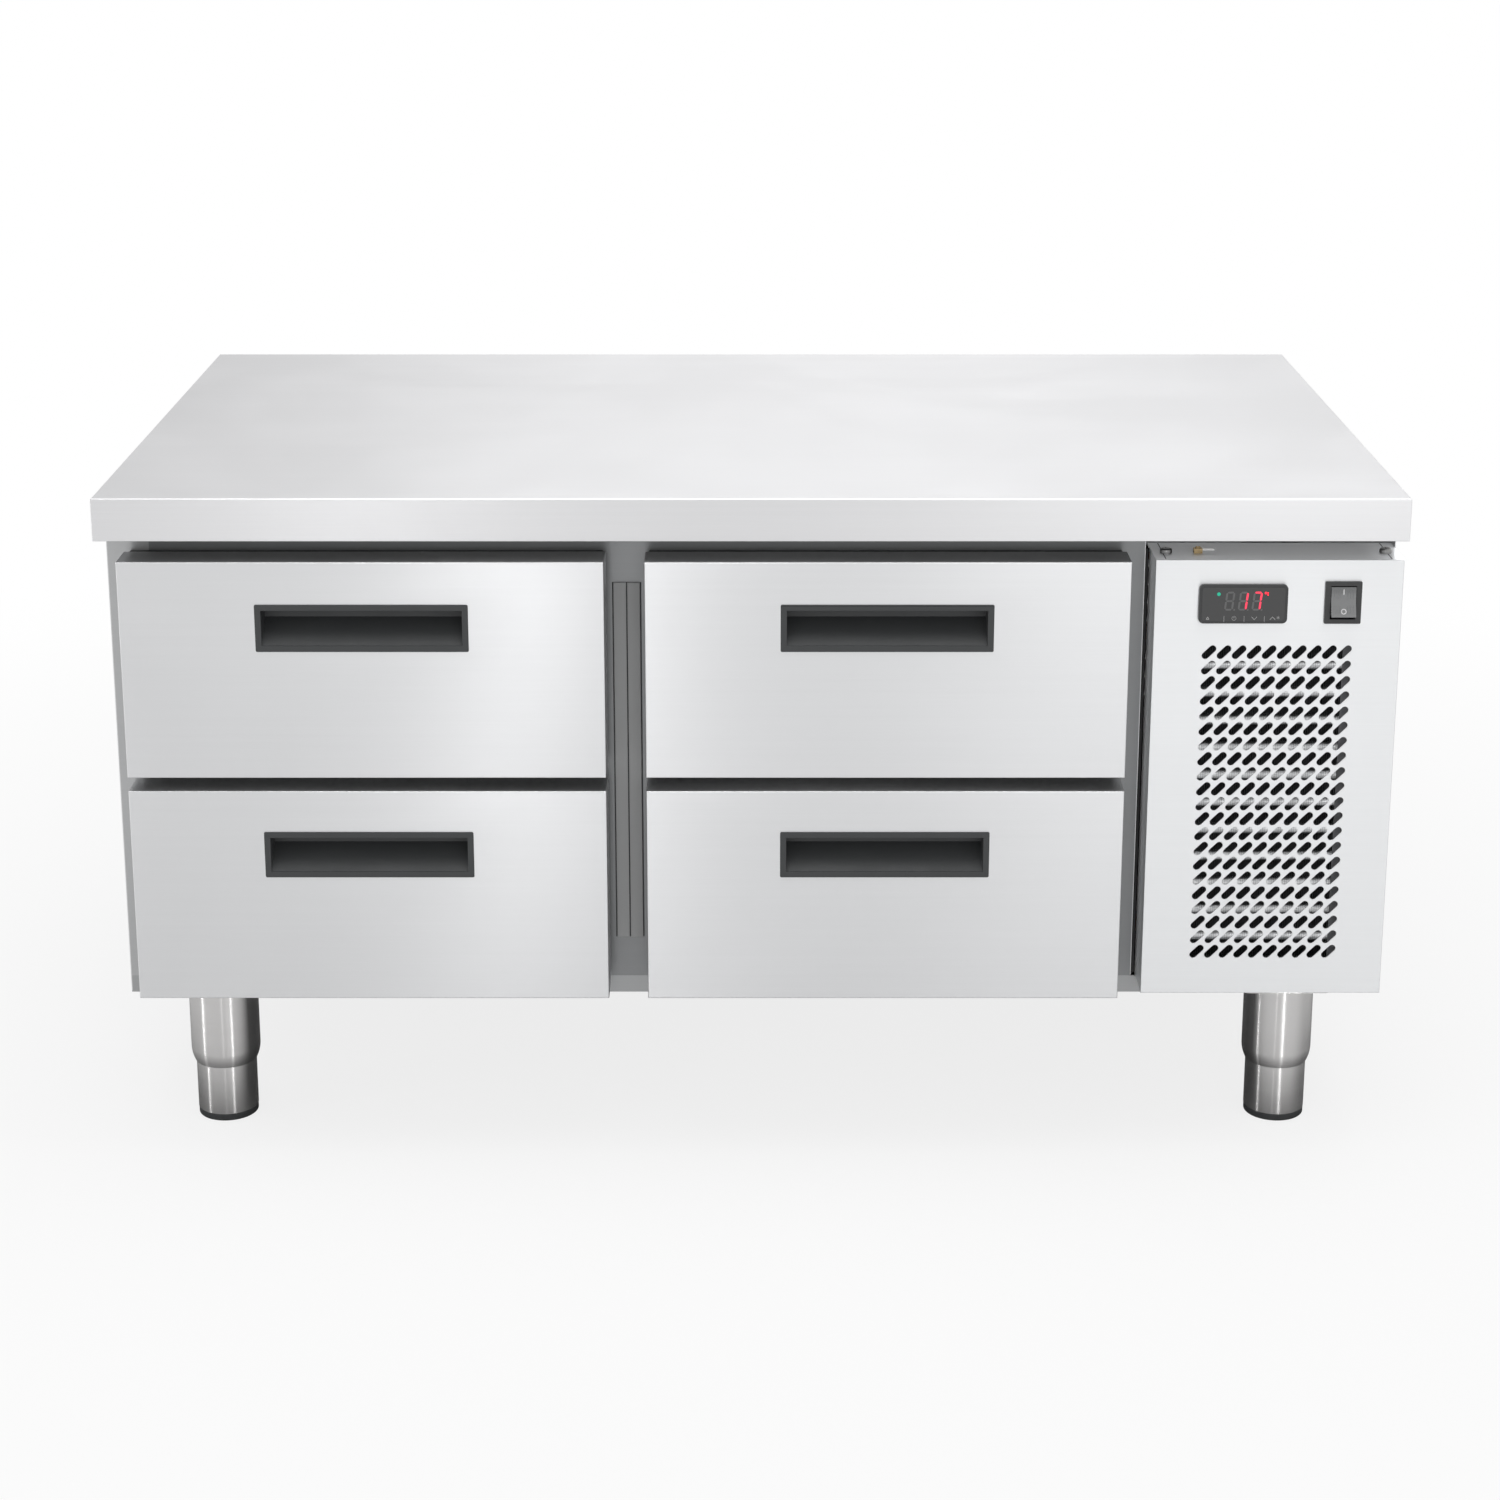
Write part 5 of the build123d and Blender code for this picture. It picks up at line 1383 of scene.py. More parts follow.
def digit_parts(left, lit):
    """The seven segments and the point of a digit, as two lists: lit and unlit."""
    w = DIGIT_WIDTH - SEGMENT_WIDTH
    h = (DIGIT_HEIGHT - SEGMENT_WIDTH) / 2
    corner = {"tl": (0, 0), "tr": (w, 0), "ml": (0, h), "mr": (w, h), "bl": (0, 2 * h),
              "br": (w, 2 * h)}
    bright, faint = [], []
    for name, (start, end) in SEGMENT_ENDS.items():
        outline = segment_outline(Vector(corner[start]), Vector(corner[end]))
        (bright if name in lit else faint).append(slanted_plate(left, outline))
    dot = circle(w + DOT_PLACE[0], 2 * h + DOT_PLACE[1], DOT_RADIUS, 12)
    faint.append(slanted_plate(left, dot))
    return bright, faint


bright_parts, faint_parts = [], []
for left, lit in zip(DIGIT_LEFTS, LIT_SEGMENTS):
    bright, faint = digit_parts(left, lit)
    bright_parts += bright
    faint_parts += faint
for arc, width in DEGREE_ARCS:
    bright_parts += stroke_parts(arc_points(*arc), width)
add_piece("display_lit", bright_parts, "digit_red", "window_plastic")
add_piece("display_unlit", faint_parts, "segment_grey", "window_plastic")
lamp = circle(bezel_low.x + LAMP_PLACE[0], bezel_high.z - LAMP_PLACE[1], LAMP_RADIUS, 24)
add_piece("display_lamp", [prism_part(lamp, window_face - LAMP_RISE, window_face, axis="Y")],
          "lamp_green", "window_plastic")
print("segments", len(bright_parts), "lit,", len(faint_parts), "unlit")

# %% [markdown]
# Signs on the keys
#
# The four touch fields are parted by short lines, and each has a plain sign: standby, down,
# up with light, and a small triangle. Drawn lines need no font: every sign is a few strokes.

# %% Signs on the keys
SIGN_LINE = 0.42 * MM
THIN_LINE = 0.3 * MM
THICK_LINE = 0.5 * MM
SIGN_DOWN = 31.9 * MM
PARTING_LINES = (23.3 * MM, 41.8 * MM, 60.4 * MM)
PARTING_TOP = 29.9 * MM
PARTING_BOTTOM = 35.4 * MM
STANDBY = Vector((32.5 * MM, SIGN_DOWN))
STANDBY_RADIUS = 1.9 * MM
STANDBY_BAR = Vector((0, 2.3 * MM))
ARROWS = ((51.2 * MM, 1), (68.0 * MM, -1))
ARROW_HALF = Vector((2.4 * MM, 1.3 * MM))
STAR = Vector((73.1 * MM, SIGN_DOWN - 0.6 * MM))
STAR_RADIUS = 1.5 * MM
TRIANGLE = Vector((8.3 * MM, SIGN_DOWN))
TRIANGLE_CORNERS = [(-1.3 * MM, 1 * MM), (0, -1.3 * MM), (1.3 * MM, 1 * MM)]

sign_parts = []
for x in PARTING_LINES:
    sign_parts += stroke_parts([(x, PARTING_TOP), (x, PARTING_BOTTOM)], THIN_LINE)
sign_parts += stroke_parts(arc_points(*STANDBY, STANDBY_RADIUS, 35, 325, 20), SIGN_LINE)
sign_parts += stroke_parts([STANDBY - STANDBY_BAR, STANDBY], SIGN_LINE)
for x, way in ARROWS:
    sign_parts += stroke_parts([(x + side * ARROW_HALF.x, SIGN_DOWN + rise * way * ARROW_HALF.y)
                                for side, rise in ((-1, -1), (0, 1), (1, -1))], SIGN_LINE)
for turn in range(3):
    angle = math.radians(60 * turn)
    reach = Vector((math.sin(angle), math.cos(angle))) * STAR_RADIUS
    sign_parts += stroke_parts([STAR - reach, STAR + reach], THIN_LINE)
sign_parts += stroke_parts([TRIANGLE + Vector(corner) for corner in TRIANGLE_CORNERS],
                           THICK_LINE, closed=True)
add_piece("key_signs", sign_parts, "print_white", "window_plastic")
print("strokes", len(sign_parts))

# %% [markdown]
# Marks on the switch
#
# A rocker carries I for on and O for off. Its two faces slope, so each mark is drawn flat and
# then turned onto its own face. Both ride on the rocker's body, and tip with it. Fine ribs
# beside the marks give the finger a grip.

# %% Marks on the switch
PIVOT_BEHIND_WINDOW = 4.6 * MM
PIVOT_TO_EDGE = 4.2 * MM
END_RISE = 6.5 * MM
HALF_HEIGHT = 14 * MM
REST_TURN = math.radians(-12)
MARK_RISE = 0.05 * MM
RIB_RISE = 0.12 * MM
RIB_PLACES = (3.6 * MM, 6.2 * MM, 8.8 * MM)
RIB_HALF = (0.18 * MM, 3.6 * MM)
ON_BAR = (0, 2.4 * MM, 0.5 * MM, 2.6 * MM)
OFF_DOWN = 1.6 * MM
OFF_OUTER = 2.6 * MM
OFF_INNER = 1.7 * MM
OFF_STEPS = 32
rocker_low, rocker_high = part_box("switch_rocker")
pivot = Vector(((rocker_low.x + rocker_high.x) / 2, window_face + PIVOT_BEHIND_WINDOW,
                centre_of("switch_housing").z))


def rocker_marks(name, outlines, upper, material, rise=MARK_RISE):
    """Plates on one face of the rocker; outlines are measured from the face's middle."""
    sign = 1 if upper else -1
    slope = math.atan2(END_RISE - PIVOT_TO_EDGE, HALF_HEIGHT) * sign
    middle = Vector((0, -(END_RISE + PIVOT_TO_EDGE) / 2, sign * HALF_HEIGHT / 2))
    place = (Matrix.Translation(pivot) @ Matrix.Rotation(REST_TURN, 4, "X")
             @ Matrix.Translation(middle) @ Matrix.Rotation(slope, 4, "X"))
    mesh = mesh_from(name, [prism_part(outline, -rise, rise, axis="Y") for outline in outlines])
    mesh.transform(place)
    add_piece(name, mesh, material, "rocker_plastic", "switch_rocker")


def bar_outline(x, z, half_w, half_h):
    """A rectangle about a point."""
    return [(x - half_w, z - half_h), (x + half_w, z - half_h), (x + half_w, z + half_h),
            (x - half_w, z + half_h)]


rays = list(zip(circle(0, -OFF_DOWN, OFF_OUTER, OFF_STEPS),
                circle(0, -OFF_DOWN, OFF_INNER, OFF_STEPS)))
off_ring = [[out, next_out, next_in, into]
            for (out, into), (next_out, next_in) in zip(rays, rays[1:] + rays[:1])]
ribs = [bar_outline(sign * x, 0, *RIB_HALF) for sign in (-1, 1) for x in RIB_PLACES]
rocker_marks("mark_on", [bar_outline(*ON_BAR)], True, "switch_white")
rocker_marks("mark_off", off_ring, False, "switch_white")
rocker_marks("rocker_ribs_upper", ribs, True, "rocker_rib", RIB_RISE)
rocker_marks("rocker_ribs_lower", ribs, False, "rocker_rib", RIB_RISE)
print("rocker marks 4")

# %% [markdown]
# Earth terminal and panel screws
#
# The CAD node holds two screws and the terminal in one mesh, and these are three metals. So the
# mesh is copied and parted by place: the screws keep their shape, and the terminal becomes a
# brass block with a clamping screw, and a tinned tongue with a rounded end. The two thin dark
# lines across the flange are the seams of its folded corners.

# %% Earth terminal and panel screws
TERMINAL_PLACE = 38 * MM
TERMINAL_SIZE = Vector((8, 6, 6)) * MM
TERMINAL_ZONE = (-2 * MM, 25 * MM)
BLOCK_SHARE = 0.72
CLAMP_RADIUS = 2.4 * MM
CLAMP_SLOT_DEPTH = 0.6 * MM
CLAMP_SLOT_HALF = 0.5 * MM
CLAMP_HALF_SHARES = (0.86, 0.5)
TONGUE_LENGTH = 12 * MM
TONGUE_HALF_WIDTH = 2 * MM
TONGUE_HALF_THICKNESS = 0.4 * MM
TONGUE_OVERLAP = 1 * MM
TONGUE_STEPS = 12
SEAM_HALF_WIDTH = 0.4 * MM
SEAM_RISE = 0.08 * MM
SEAM_ENDS = (3 * MM, 2 * MM)
SEAM_INSETS = (9.5 * MM, 11 * MM)
panel_low, panel_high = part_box("control_panel")
terminal_y = centre_of("panel_screws").y
x0 = panel_low.x + TERMINAL_PLACE
x1 = x0 + TERMINAL_SIZE.x
y0, y1 = terminal_y - TERMINAL_SIZE.y / 2, terminal_y + TERMINAL_SIZE.y / 2
z0, z1 = panel_high.z, panel_high.z + TERMINAL_SIZE.z


def is_screw(centre):
    """True for faces that lie outside the terminal's zone."""
    return not x0 + TERMINAL_ZONE[0] < centre.x < x0 + TERMINAL_ZONE[1]


def terminal_parts():
    """The block, its clamping screw, and the two halves of the screw's slotted head."""
    block_top = z0 + TERMINAL_SIZE.z * BLOCK_SHARE
    middle = (x0 + x1) / 2
    half_x, half_y = (share * CLAMP_RADIUS for share in CLAMP_HALF_SHARES)
    screw = [(CLAMP_RADIUS, block_top), (CLAMP_RADIUS, z1 - CLAMP_SLOT_DEPTH)]
    parts = [box_part(x0, x1, y0, y1, z0, block_top),
             lathe_part(screw, (middle, terminal_y, 0), sides=24)]
    for left, right in ((-half_x, -CLAMP_SLOT_HALF), (CLAMP_SLOT_HALF, half_x)):
        parts.append(box_part(middle + left, middle + right, terminal_y - half_y,
                              terminal_y + half_y, block_top, z1))
    return parts


def tongue_part():
    """A flat tongue with a rounded end."""
    half = TONGUE_HALF_WIDTH
    inner, neck = x1 - TONGUE_OVERLAP, x1 + TONGUE_LENGTH - half - TONGUE_OVERLAP
    outline = [(inner, terminal_y - half), (neck, terminal_y - half)]
    for step in range(TONGUE_STEPS + 1):
        angle = math.pi * step / TONGUE_STEPS
        outline.append((neck + TONGUE_OVERLAP + half * math.sin(angle),
                        terminal_y - half * math.cos(angle)))
    outline += [(neck, terminal_y + half), (inner, terminal_y + half)]
    middle = z0 + TERMINAL_SIZE.z / 2
    return prism_part(outline, middle - TONGUE_HALF_THICKNESS, middle + TONGUE_HALF_THICKNESS)


add_piece("flange_screws", cad_copy("panel_screws", "flange_screws", is_screw), "screw_steel",
          replaces=["panel_screws"])
add_piece("earth_terminal", terminal_parts(), "brass", "screw_steel", replaces=["panel_screws"])
add_piece("earth_tongue", [tongue_part()], "tinned", "screw_steel", replaces=["panel_screws"])
seams = [box_part(x - SEAM_HALF_WIDTH, x + SEAM_HALF_WIDTH, panel_low.y + SEAM_ENDS[0],
                  panel_high.y - SEAM_ENDS[1], z0, z0 + SEAM_RISE)
         for x in (panel_low.x + SEAM_INSETS[0], panel_high.x - SEAM_INSETS[1])]
add_piece("flange_seams", seams, "gasket_rubber", "screw_steel")
print("flange hardware 4")

# %% [markdown]
# Sealing tape beside the panel
#
# A strip of black foam tape on the partition closes the narrow gap beside the panel, so that
# the fan draws its air only through the slots. It also keeps the gap dark.

# %% Sealing tape beside the panel
TAPE_CLEARANCE = 0.1 * MM
TAPE_INSET = 2 * MM
TAPE_END_INSET = 1 * MM
TAPE_EDGE = 0.8 * MM
casing_low, casing_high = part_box("outer_casing")
tape = add_piece("sealing_tape", [box_part(
    casing_high.x, panel_low.x - TAPE_CLEARANCE, casing_low.y + TAPE_INSET,
    panel_high.y - TAPE_INSET, panel_low.z + TAPE_END_INSET, panel_high.z - TAPE_END_INSET)],
    "gasket_rubber", smooth=True)
tape_bevel = tape.modifiers.new("soft edges", "BEVEL")
tape_bevel.width = TAPE_EDGE
tape_bevel.segments = BEVEL_SEGMENTS
print("tape thickness", round(panel_low.x - casing_high.x, 4))

# %% [markdown]
# Louvres at the rear
#
# The air slots of the rear sheet are pressed outwards into louvres: each has a hood that opens
# downwards, so that nothing falls in and no light shines through. A hood is a curved strip
# whose height falls to nothing at both ends.

# %% Louvres at the rear
LOUVRE_LENGTH = 160 * MM
LOUVRE_OVERHANG = 3 * MM
LOUVRE_END = 9 * MM
LOUVRE_PITCH = 22 * MM
LOUVRE_MARGIN = 88 * MM
LOUVRE_BULGE = 5 * MM
LOUVRE_SINK = 0.05 * MM
LOUVRE_SHEET = 0.8 * MM
LOUVRE_RIM_GAP = 0.0008 * MM
LOUVRE_TOP = 5.6
LOUVRE_SECTION = [(0.0, LOUVRE_TOP), (0.35, 5.1), (0.72, 3.9), (0.93, 2.0), (1.0, -0.4),
                  (1.0, -3.9)]
END_STEPS = 5
MIDDLE_STEPS = 10
back_low, back_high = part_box("technical_back_panel")
louvre_x = (back_low.x + back_high.x + LOUVRE_SHEET) / 2
louvre_count = int((back_high.z - back_low.z - 2 * LOUVRE_MARGIN) / LOUVRE_PITCH) + 1
louvre_places = even_places(back_low.z, back_high.z, LOUVRE_PITCH, louvre_count)


def louvre_points(z):
    """Rows of points along X, each with an outer and an inner skin; and the number of rows."""
    half = LOUVRE_LENGTH / 2 + LOUVRE_OVERHANG
    straight = half - LOUVRE_END
    places = [-half + LOUVRE_END * i / END_STEPS for i in range(END_STEPS)]
    places += [-straight + 2 * straight * i / MIDDLE_STEPS for i in range(MIDDLE_STEPS + 1)]
    places += [straight + LOUVRE_END * i / END_STEPS for i in range(1, END_STEPS + 1)]
    points = []
    for x in places:
        inside = max(0.0, (abs(x) - straight) / LOUVRE_END)
        share = math.sqrt(max(0.0, 1 - inside * inside))
        for skin in (0, 1):
            bulge = (LOUVRE_BULGE - LOUVRE_SHEET * skin) * share
            for out, height in LOUVRE_SECTION:
                drop = (height - LOUVRE_TOP) * MM * (0.25 + 0.75 * share)
                points.append((louvre_x + x, back_high.y - LOUVRE_SINK + out * bulge,
                               z + LOUVRE_TOP * MM - LOUVRE_RIM_GAP * skin * (1 - out) + drop))
    return points, len(places)


def louvre_part(z):
    """One hood: both skins, their rims and their ends."""
    points, rows = louvre_points(z)
    width = len(LOUVRE_SECTION)
    faces = []
    for i in range(rows - 1):
        a, b = i * width * 2, (i + 1) * width * 2
        for j in range(width - 1):
            faces.append((a + j, a + j + 1, b + j + 1, b + j))
            faces.append((a + width + j, b + width + j, b + width + j + 1, a + width + j + 1))
        faces.append((a + width - 1, a + 2 * width - 1, b + 2 * width - 1, b + width - 1))
        faces.append((a, b, b + width, a + width))
    for a in (0, (rows - 1) * width * 2):
        faces.append((*range(a, a + width), *range(a + 2 * width - 1, a + width - 1, -1)))
    return points, faces


add_piece("louvre_hoods", [louvre_part(z) for z in louvre_places], "body_steel", smooth=True)
print("louvres", louvre_count)

# %% [markdown]
# Screws of the rear sheet
#
# The rear sheet of the technical compartment comes off for service, so pan-head screws hold it
# along both sides. One turned head is made, and copied by a loop.

# %% Screws of the rear sheet
PAN_RADIUS = 3.6 * MM
PAN_RISE = 2.0 * MM
PAN_EDGE = 1.3 * MM
PAN_SKIRT = (0.05 * MM, 0.2 * MM)
PAN_INSET = 8 * MM
PAN_END_INSET = 18 * MM
PAN_ROWS = 4


def pan_head(x, z, face):
    """A pan head on a sheet that faces the rear."""
    profile = [(PAN_RADIUS - PAN_SKIRT[0], face - PAN_SKIRT[1])]
    profile += rounded([(PAN_RADIUS, face), (PAN_RADIUS, face + PAN_RISE),
                        (AXIS_RADIUS, face + PAN_RISE)], [0, PAN_EDGE, 0])
    return lathe_part(profile, (x, 0, z), axis="Y", sides=32)


run = back_high.z - back_low.z - 2 * PAN_END_INSET
screw_parts = [
    pan_head(x, back_low.z + PAN_END_INSET + run * rank / (PAN_ROWS - 1), back_high.y)
    for x in (back_low.x + PAN_INSET, back_high.x - PAN_INSET) for rank in range(PAN_ROWS)]
add_piece("rear_screws", screw_parts, "screw_steel", smooth=True)
print("rear screws", len(screw_parts))

# %% [markdown]
# Cable gland
#
# The cord enters through a nylon gland: a hexagon body against the sheet, and a fluted cap
# that clamps a rubber seal when it is screwed down. The flutes are a turned shape whose
# radius rises and falls as it goes round.

# %% Cable gland
GLAND_BORE = 4 * MM
SEAL_WALL = 1.8 * MM
CAP_BORE = GLAND_BORE + 1.6 * MM
CAP_FLUTES = 10
FLUTE_SHARE = 0.10
# Turned rings: radius, start and end from the sheet, and the number of sides.
SHEET_RINGS = [(11 * MM, 0, 1.2 * MM, 48), (10.9 * MM, 1.2 * MM, 5.8 * MM, 6)]
NUT_RADIUS = 12 * MM
NUT_HEIGHT = 5 * MM
THREAD_RADIUS = 8 * MM
# The cap: radius, place from the sheet or from the gland's end, and depth of the flutes.
CAP_FROM_SHEET = [(CAP_BORE, 6 * MM, 0), (10.2 * MM, 6 * MM, 0), (10.4 * MM, 6.8 * MM, 1)]
CAP_FROM_END = [(9.8 * MM, 4 * MM, 1), (8.6 * MM, 1.6 * MM, 0.6), (7.2 * MM, 0.2 * MM, 0),
                (6.6 * MM, 0, 0), (CAP_BORE, 0, 0)]
SEAL_FROM_END = [(0, 10 * MM), (0, 0.9 * MM), (0.5 * MM, 0.5 * MM), (SEAL_WALL, 0.5 * MM),
                 (SEAL_WALL, 10 * MM)]


def fluted_part(profile, centre, sides=144):
    """A turned shape along Y with flutes; the profile's third value is their depth."""
    points = []
    for radius, y, share in profile:
        for side in range(sides):
            angle = 2 * math.pi * side / sides
            dip = (0.5 - 0.5 * math.cos(angle * CAP_FLUTES)) ** 2
            r = radius * (1 - FLUTE_SHARE * share * dip)
            points.append((centre[0] + r * math.cos(angle), y, centre[2] + r * math.sin(angle)))
    return points, band_faces(len(profile), sides, closed=True)


gland_low, gland_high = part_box("cable_gland")
gland = centre_of("cable_gland")
sheet, end = back_high.y, gland_high.y


def gland_ring(radius, start, stop, sides):
    """A turned ring on the gland's line."""
    return lathe_part([(radius, start), (radius, stop)], (gland.x, 0, gland.z), axis="Y",
                      sides=sides)


cap_profile = [(radius, sheet + out, share) for radius, out, share in CAP_FROM_SHEET]
cap_profile += [(radius, end - back, share) for radius, back, share in CAP_FROM_END]
seal_profile = [(GLAND_BORE + wall, end - back) for wall, back in SEAL_FROM_END]
gland_parts = [gland_ring(radius, sheet + start, sheet + stop, sides)
               for radius, start, stop, sides in SHEET_RINGS]
gland_parts += [fluted_part(cap_profile, gland),
                gland_ring(THREAD_RADIUS, gland_low.y, sheet, 32),
                gland_ring(NUT_RADIUS, gland_low.y, gland_low.y + NUT_HEIGHT, 6)]
add_piece("gland_body", gland_parts, "gland_plastic", smooth=True, replaces=["cable_gland"])
seal = lathe_part(seal_profile, (gland.x, 0, gland.z), axis="Y", sides=32, closed=True)
add_piece("gland_seal", [seal], "gasket_rubber", "gland_plastic", smooth=True,
          replaces=["cable_gland"])
print("gland 2")

# %% [markdown]
# Floor and surroundings
#
# Steel shows its surroundings more than itself, so the surroundings are part of the finish.
# They are those of a product studio: a white sweep all round that the reflections see as a
# little uneven, and a pale floor that keeps the object's shadow and fades into the white.
# A painted shadow lies on the floor under the body and beside it; only reflections see it. It
# gives the legs their dark edges.

# %% Floor
FLOOR_HALF = 14
FLOOR_TONE = 0.82
PAINTED_SHADOW_DARKNESS = 0.64
FADE_START = 0.75
FADE_END = 2.1
# The painted shadow along each axis: its middle, and where it starts and ends to fade on both
# sides.
PAINTED_FLOOR_SHADOW = (("X", 0.06, 0.56, 0.91), ("Y", 0.0, 0.22, 0.42))


def floor_material():
    """Matte near the object, and white light further away, by the kind of ray."""
    material = bpy.data.materials.new("floor")
    material.use_nodes = True
    tree = material.node_tree
    tree.nodes.clear()
    coordinates = surface_point(tree)
    reach = vector_node(tree, "LENGTH", {0: coordinates}, "Value")
    far = ramp(tree, reach, FADE_START, FADE_END, shape=SMOOTH)
    rays = add_node(tree, "ShaderNodeLightPath").outputs
    camera_share = math_node(tree, "MULTIPLY", rays["Is Camera Ray"],
                             math_node(tree, "MULTIPLY_ADD", far, 1 - FLOOR_TONE, FLOOR_TONE))
    gloss_share = math_node(tree, "MULTIPLY", rays["Is Glossy Ray"],
                            math_node(tree, "MULTIPLY", far, 0.9))
    clear_share = math_node(tree, "MULTIPLY", rays["Is Transmission Ray"], far)
    share = math_node(tree, "MAXIMUM", camera_share,
                      math_node(tree, "MAXIMUM", gloss_share, clear_share))
    place = add_node(tree, "ShaderNodeSeparateXYZ", {0: coordinates}).outputs
    under = rays["Is Glossy Ray"]
    # Painted shadow: for glossy rays the floor is darker under the body and beside it.
    for axis, middle, inner, outer in PAINTED_FLOOR_SHADOW:
        away = math_node(tree, "ABSOLUTE", math_node(tree, "SUBTRACT", place[axis], middle))
        inside = ramp(tree, away, inner, outer, 1.0, 0.0, SMOOTH)
        under = math_node(tree, "MULTIPLY", under, inside)
    tone = math_node(tree, "MULTIPLY_ADD", under, -PAINTED_SHADOW_DARKNESS, FLOOR_TONE)
    matte = add_node(tree, "ShaderNodeBsdfDiffuse", {"Color": tone}).outputs[0]
    white = add_node(tree, "ShaderNodeEmission", {"Color": (1, 1, 1, 1), "Strength": 1.0})
    mix = add_node(tree, "ShaderNodeMixShader", {0: share, 1: matte, 2: white.outputs[0]})
    add_node(tree, "ShaderNodeOutputMaterial", {"Surface": mix.outputs[0]})
    return material


def add_floor():
    """A pale square floor."""
    signs = ((-1, -1), (1, -1), (1, 1), (-1, 1))
    corners = [(x * FLOOR_HALF, y * FLOOR_HALF, 0) for x, y in signs]
    mesh = mesh_from("floor", [(corners, [(0, 1, 2, 3)])])
    mesh.materials.append(floor_material())
    floor = bpy.data.objects.new("floor", mesh)
    scene.collection.objects.link(floor)
    floor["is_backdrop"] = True
    return floor


print("floor", add_floor().name)

# %% [markdown]
# The white surroundings
#
# The camera sees plain white. Reflections see a studio that is brighter at the sides than in
# the middle, and matte surfaces get a soft light from above. Light Path tells the three apart.

# %% Surroundings
# Smooth changes of brightness with direction: where they start and end, and the levels there.
REAR_RISE = (-0.24, 0.0, 0.68, 0.88)
REAR_DIP = (0.0, 0.20, 0.0, 0.11)
FRONT_RISE = (-0.05, 0.22, 0.72, 0.88)
FRONT_DIP = (0.35, 0.65, 0.0, 0.16)
FRONT_TO_REAR = (-0.2, 0.2, 0.0, 1.0)
SIDE_RISE = (0.26, 0.62, 0.0, 0.20)
SIDE_FALL = (0.74, 1.0, 0.0, 0.28)
FROM_ABOVE = (0.0, 0.8, 0.30, 0.62)


def rise_and_dip(tree, value, rise, dip):
    """A smooth ramp less another one."""
    return math_node(tree, "SUBTRACT", ramp(tree, value, *rise, SMOOTH),
                     ramp(tree, value, *dip, SMOOTH))


def add_world():
    """White surroundings for the camera; the reflections see a studio that isn't even."""
    world = bpy.data.worlds.new("studio")
    scene.world = world
    world.use_nodes = True
    tree = world.node_tree
    tree.nodes.clear()
    direction = add_node(tree, "ShaderNodeTexCoord").outputs["Generated"]
    way = add_node(tree, "ShaderNodeSeparateXYZ", {0: direction}).outputs
    behind = rise_and_dip(tree, way["X"], REAR_RISE, REAR_DIP)
    ahead = rise_and_dip(tree, way["X"], FRONT_RISE, FRONT_DIP)
    middle = mixed(tree, ramp(tree, way["Y"], *FRONT_TO_REAR, SMOOTH), ahead, behind)
    sides = rise_and_dip(tree, math_node(tree, "ABSOLUTE", way["X"]), SIDE_RISE, SIDE_FALL)
    glossy_level = math_node(tree, "ADD", middle, sides)
    diffuse_level = ramp(tree, way["Z"], *FROM_ABOVE, SMOOTH)
    rays = add_node(tree, "ShaderNodeLightPath").outputs
    seen = math_node(tree, "MAXIMUM", rays["Is Camera Ray"], rays["Is Transmission Ray"])
    level = mixed(tree, rays["Is Glossy Ray"], diffuse_level, glossy_level)
    background = add_node(tree, "ShaderNodeBackground",
                          {"Color": (1, 1, 1, 1), "Strength": mixed(tree, seen, level, 1.0)})
    add_node(tree, "ShaderNodeOutputWorld", {"Surface": background.outputs[0]})


add_world()
print("world", scene.world.name)

# %% [markdown]
# Lamps
#
# A large soft lamp hangs overhead, one stands at the right, and upright strip lamps draw the
# thin bright lines down the round legs. A studio also sets small lamps for single parts, so
# here a lamp may be linked to a few pieces: two strips shine on the legs only, one draws the
# bright spot on the worktop's front fold, and one lamp lights the flange that lies in the
# worktop's shadow.

# %% Lamps
def linked_group(name, pieces):
    """A collection that a lamp can be linked to."""
    group = bpy.data.collections.new(name)
    for piece in pieces:
        group.objects.link(piece)
    return group


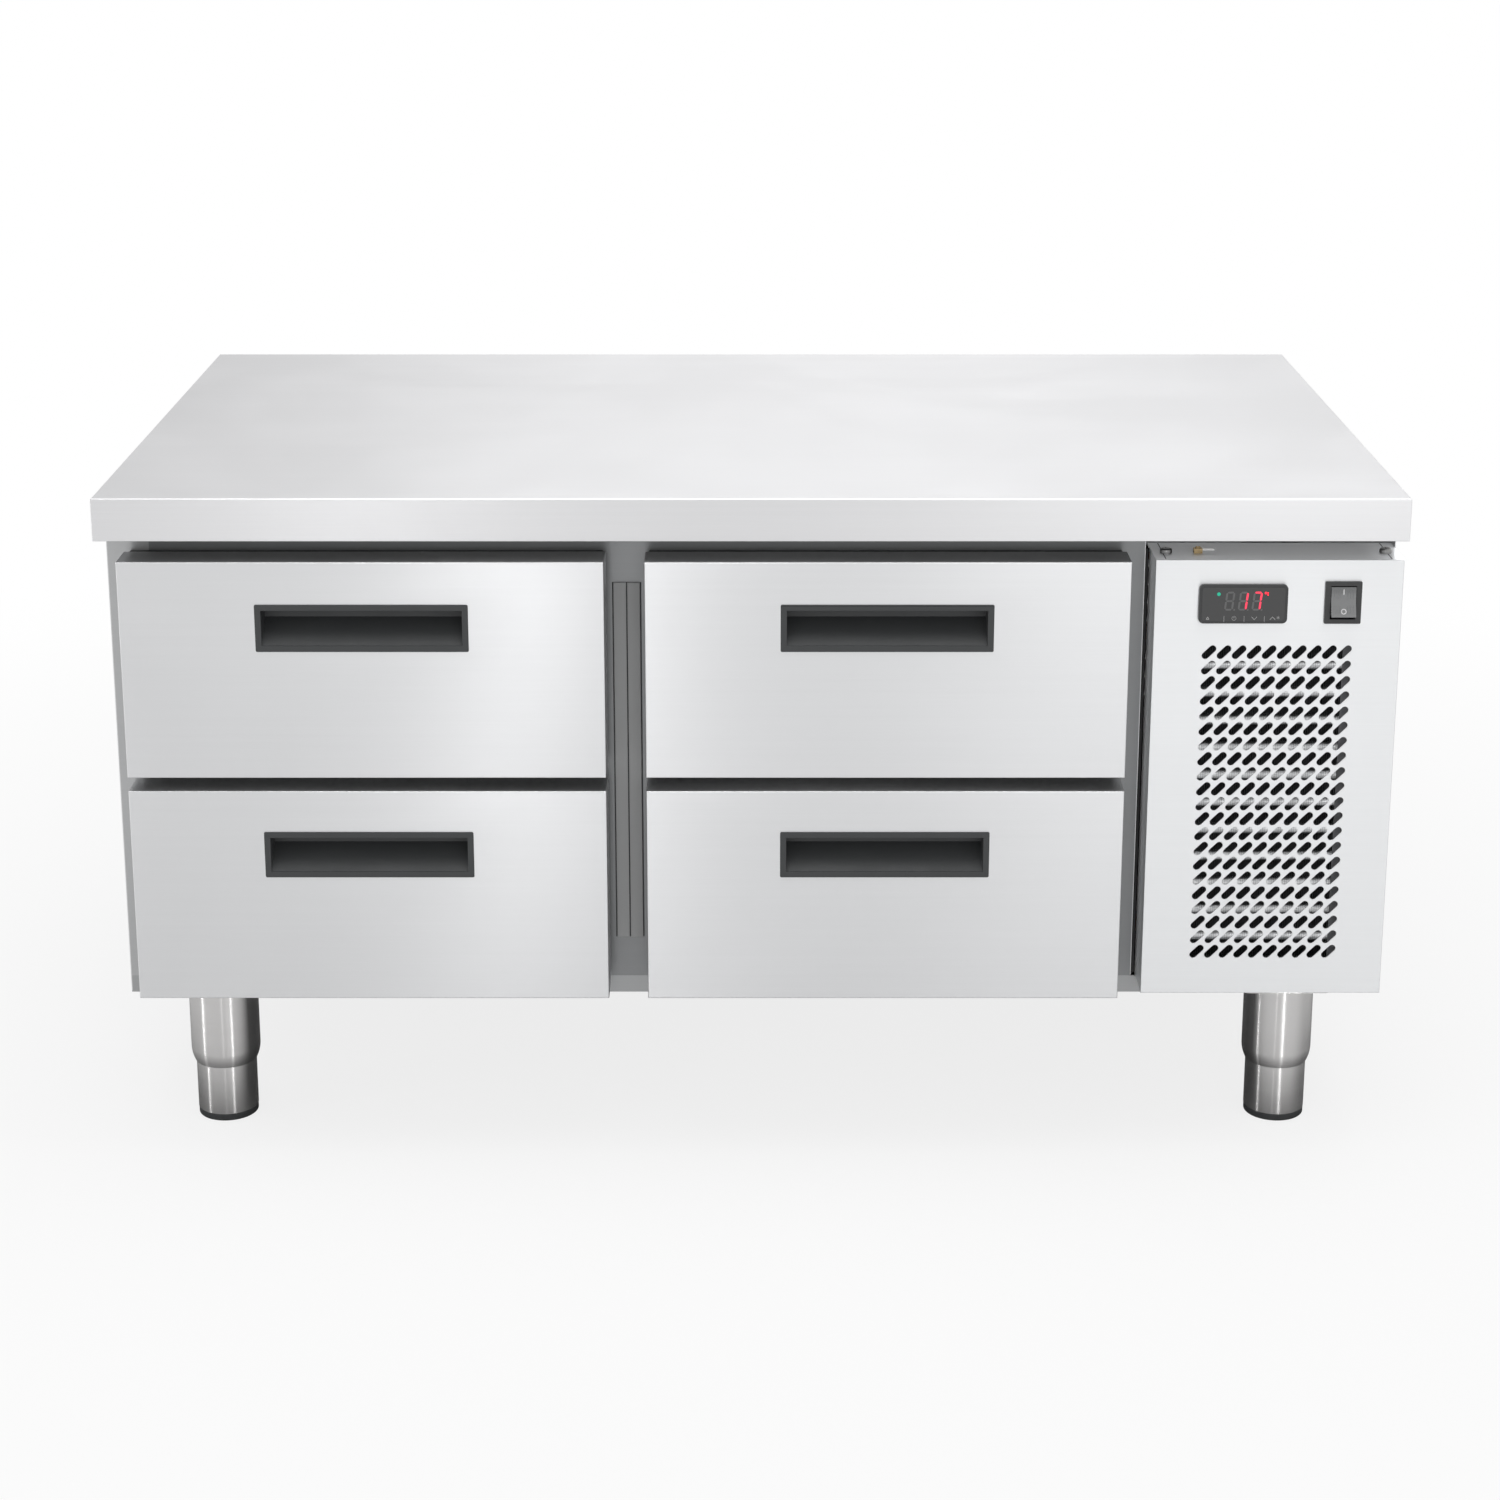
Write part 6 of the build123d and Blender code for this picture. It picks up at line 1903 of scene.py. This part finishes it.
def add_lamp(name, place, target, size, power, only=(), shade=()):
    """A rectangular soft lamp that points at a target; it may light only some pieces."""
    data = bpy.data.lights.new(name, "AREA")
    data.shape = "RECTANGLE"
    data.size, data.size_y = size
    data.energy = power
    lamp = bpy.data.objects.new(name, data)
    lamp.location = place
    lamp.rotation_euler = (Vector(target) - Vector(place)).to_track_quat("-Z", "Y").to_euler()
    lamp.visible_camera = False
    scene.collection.objects.link(lamp)
    if only:
        lamp.light_linking.receiver_collection = linked_group(f"{name}_lit", only)
    if shade:
        lamp.light_linking.blocker_collection = linked_group(f"{name}_shading", shade)


LEFT_STRIP_PLACE = (-3.0, -1.49, 0.9)
LEG_TARGET = (0, -0.25, 0.1)
worktop = [scene.objects["worktop_skin_piece"]]
others = [o for o in scene.objects if o.type == "MESH" and o not in worktop]
legs = [o for o in others if o.name.startswith(("leg_f", "leg_r", "foot_sleeve"))]
flange = [nodes["control_panel"]]
flange += [scene.objects[n] for n in ("flange_screws", "earth_terminal", "earth_tongue")]
# Each lamp: name, place, target, size, power, the pieces that it lights, and what shades them.
LAMPS = [
    ("overhead_lamp", (0.2, -0.4, 3.2), (0, 0, 0.3), (3.0, 2.0), 46),
    ("right_softbox", (1.2, -4.3, 1.6), (0.4, -0.3, 0.4), (1.4, 2.6), 10.5),
    ("front_strip", (-0.47, -4.4, 1.1), (-0.25, -0.3, 0.4), (0.2, 2.2), 5, others),
    ("fold_strip", (-0.84, -4.4, 1.1), (-0.33, -0.35, 0.63), (0.12, 2.2), 4, worktop),
    ("left_strip", LEFT_STRIP_PLACE, (0, -0.3, 0.2), (0.12, 1.7), 6),
    ("leg_strip_left", LEFT_STRIP_PLACE, LEG_TARGET, (0.10, 1.7), 14, legs),
    ("leg_strip_right", (0.96, -2.69, 0.9), LEG_TARGET, (0.08, 1.7), 14, legs),
    ("flange_lamp", (0.48, 1.4, 1.5), (0.48, -0.3, 0.59), (1.4, 1.0), 16, flange, flange)]
for row in LAMPS:
    add_lamp(*row)
scene.view_settings.view_transform = "Standard"

# %% [markdown]
# Sizes
#
# The box round the dressed model is printed. The dressed model has to stay inside the CAD
# model's box.

# %% Sizes
low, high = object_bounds()
print("box", [round(v, 4) for v in (*low, *high)])
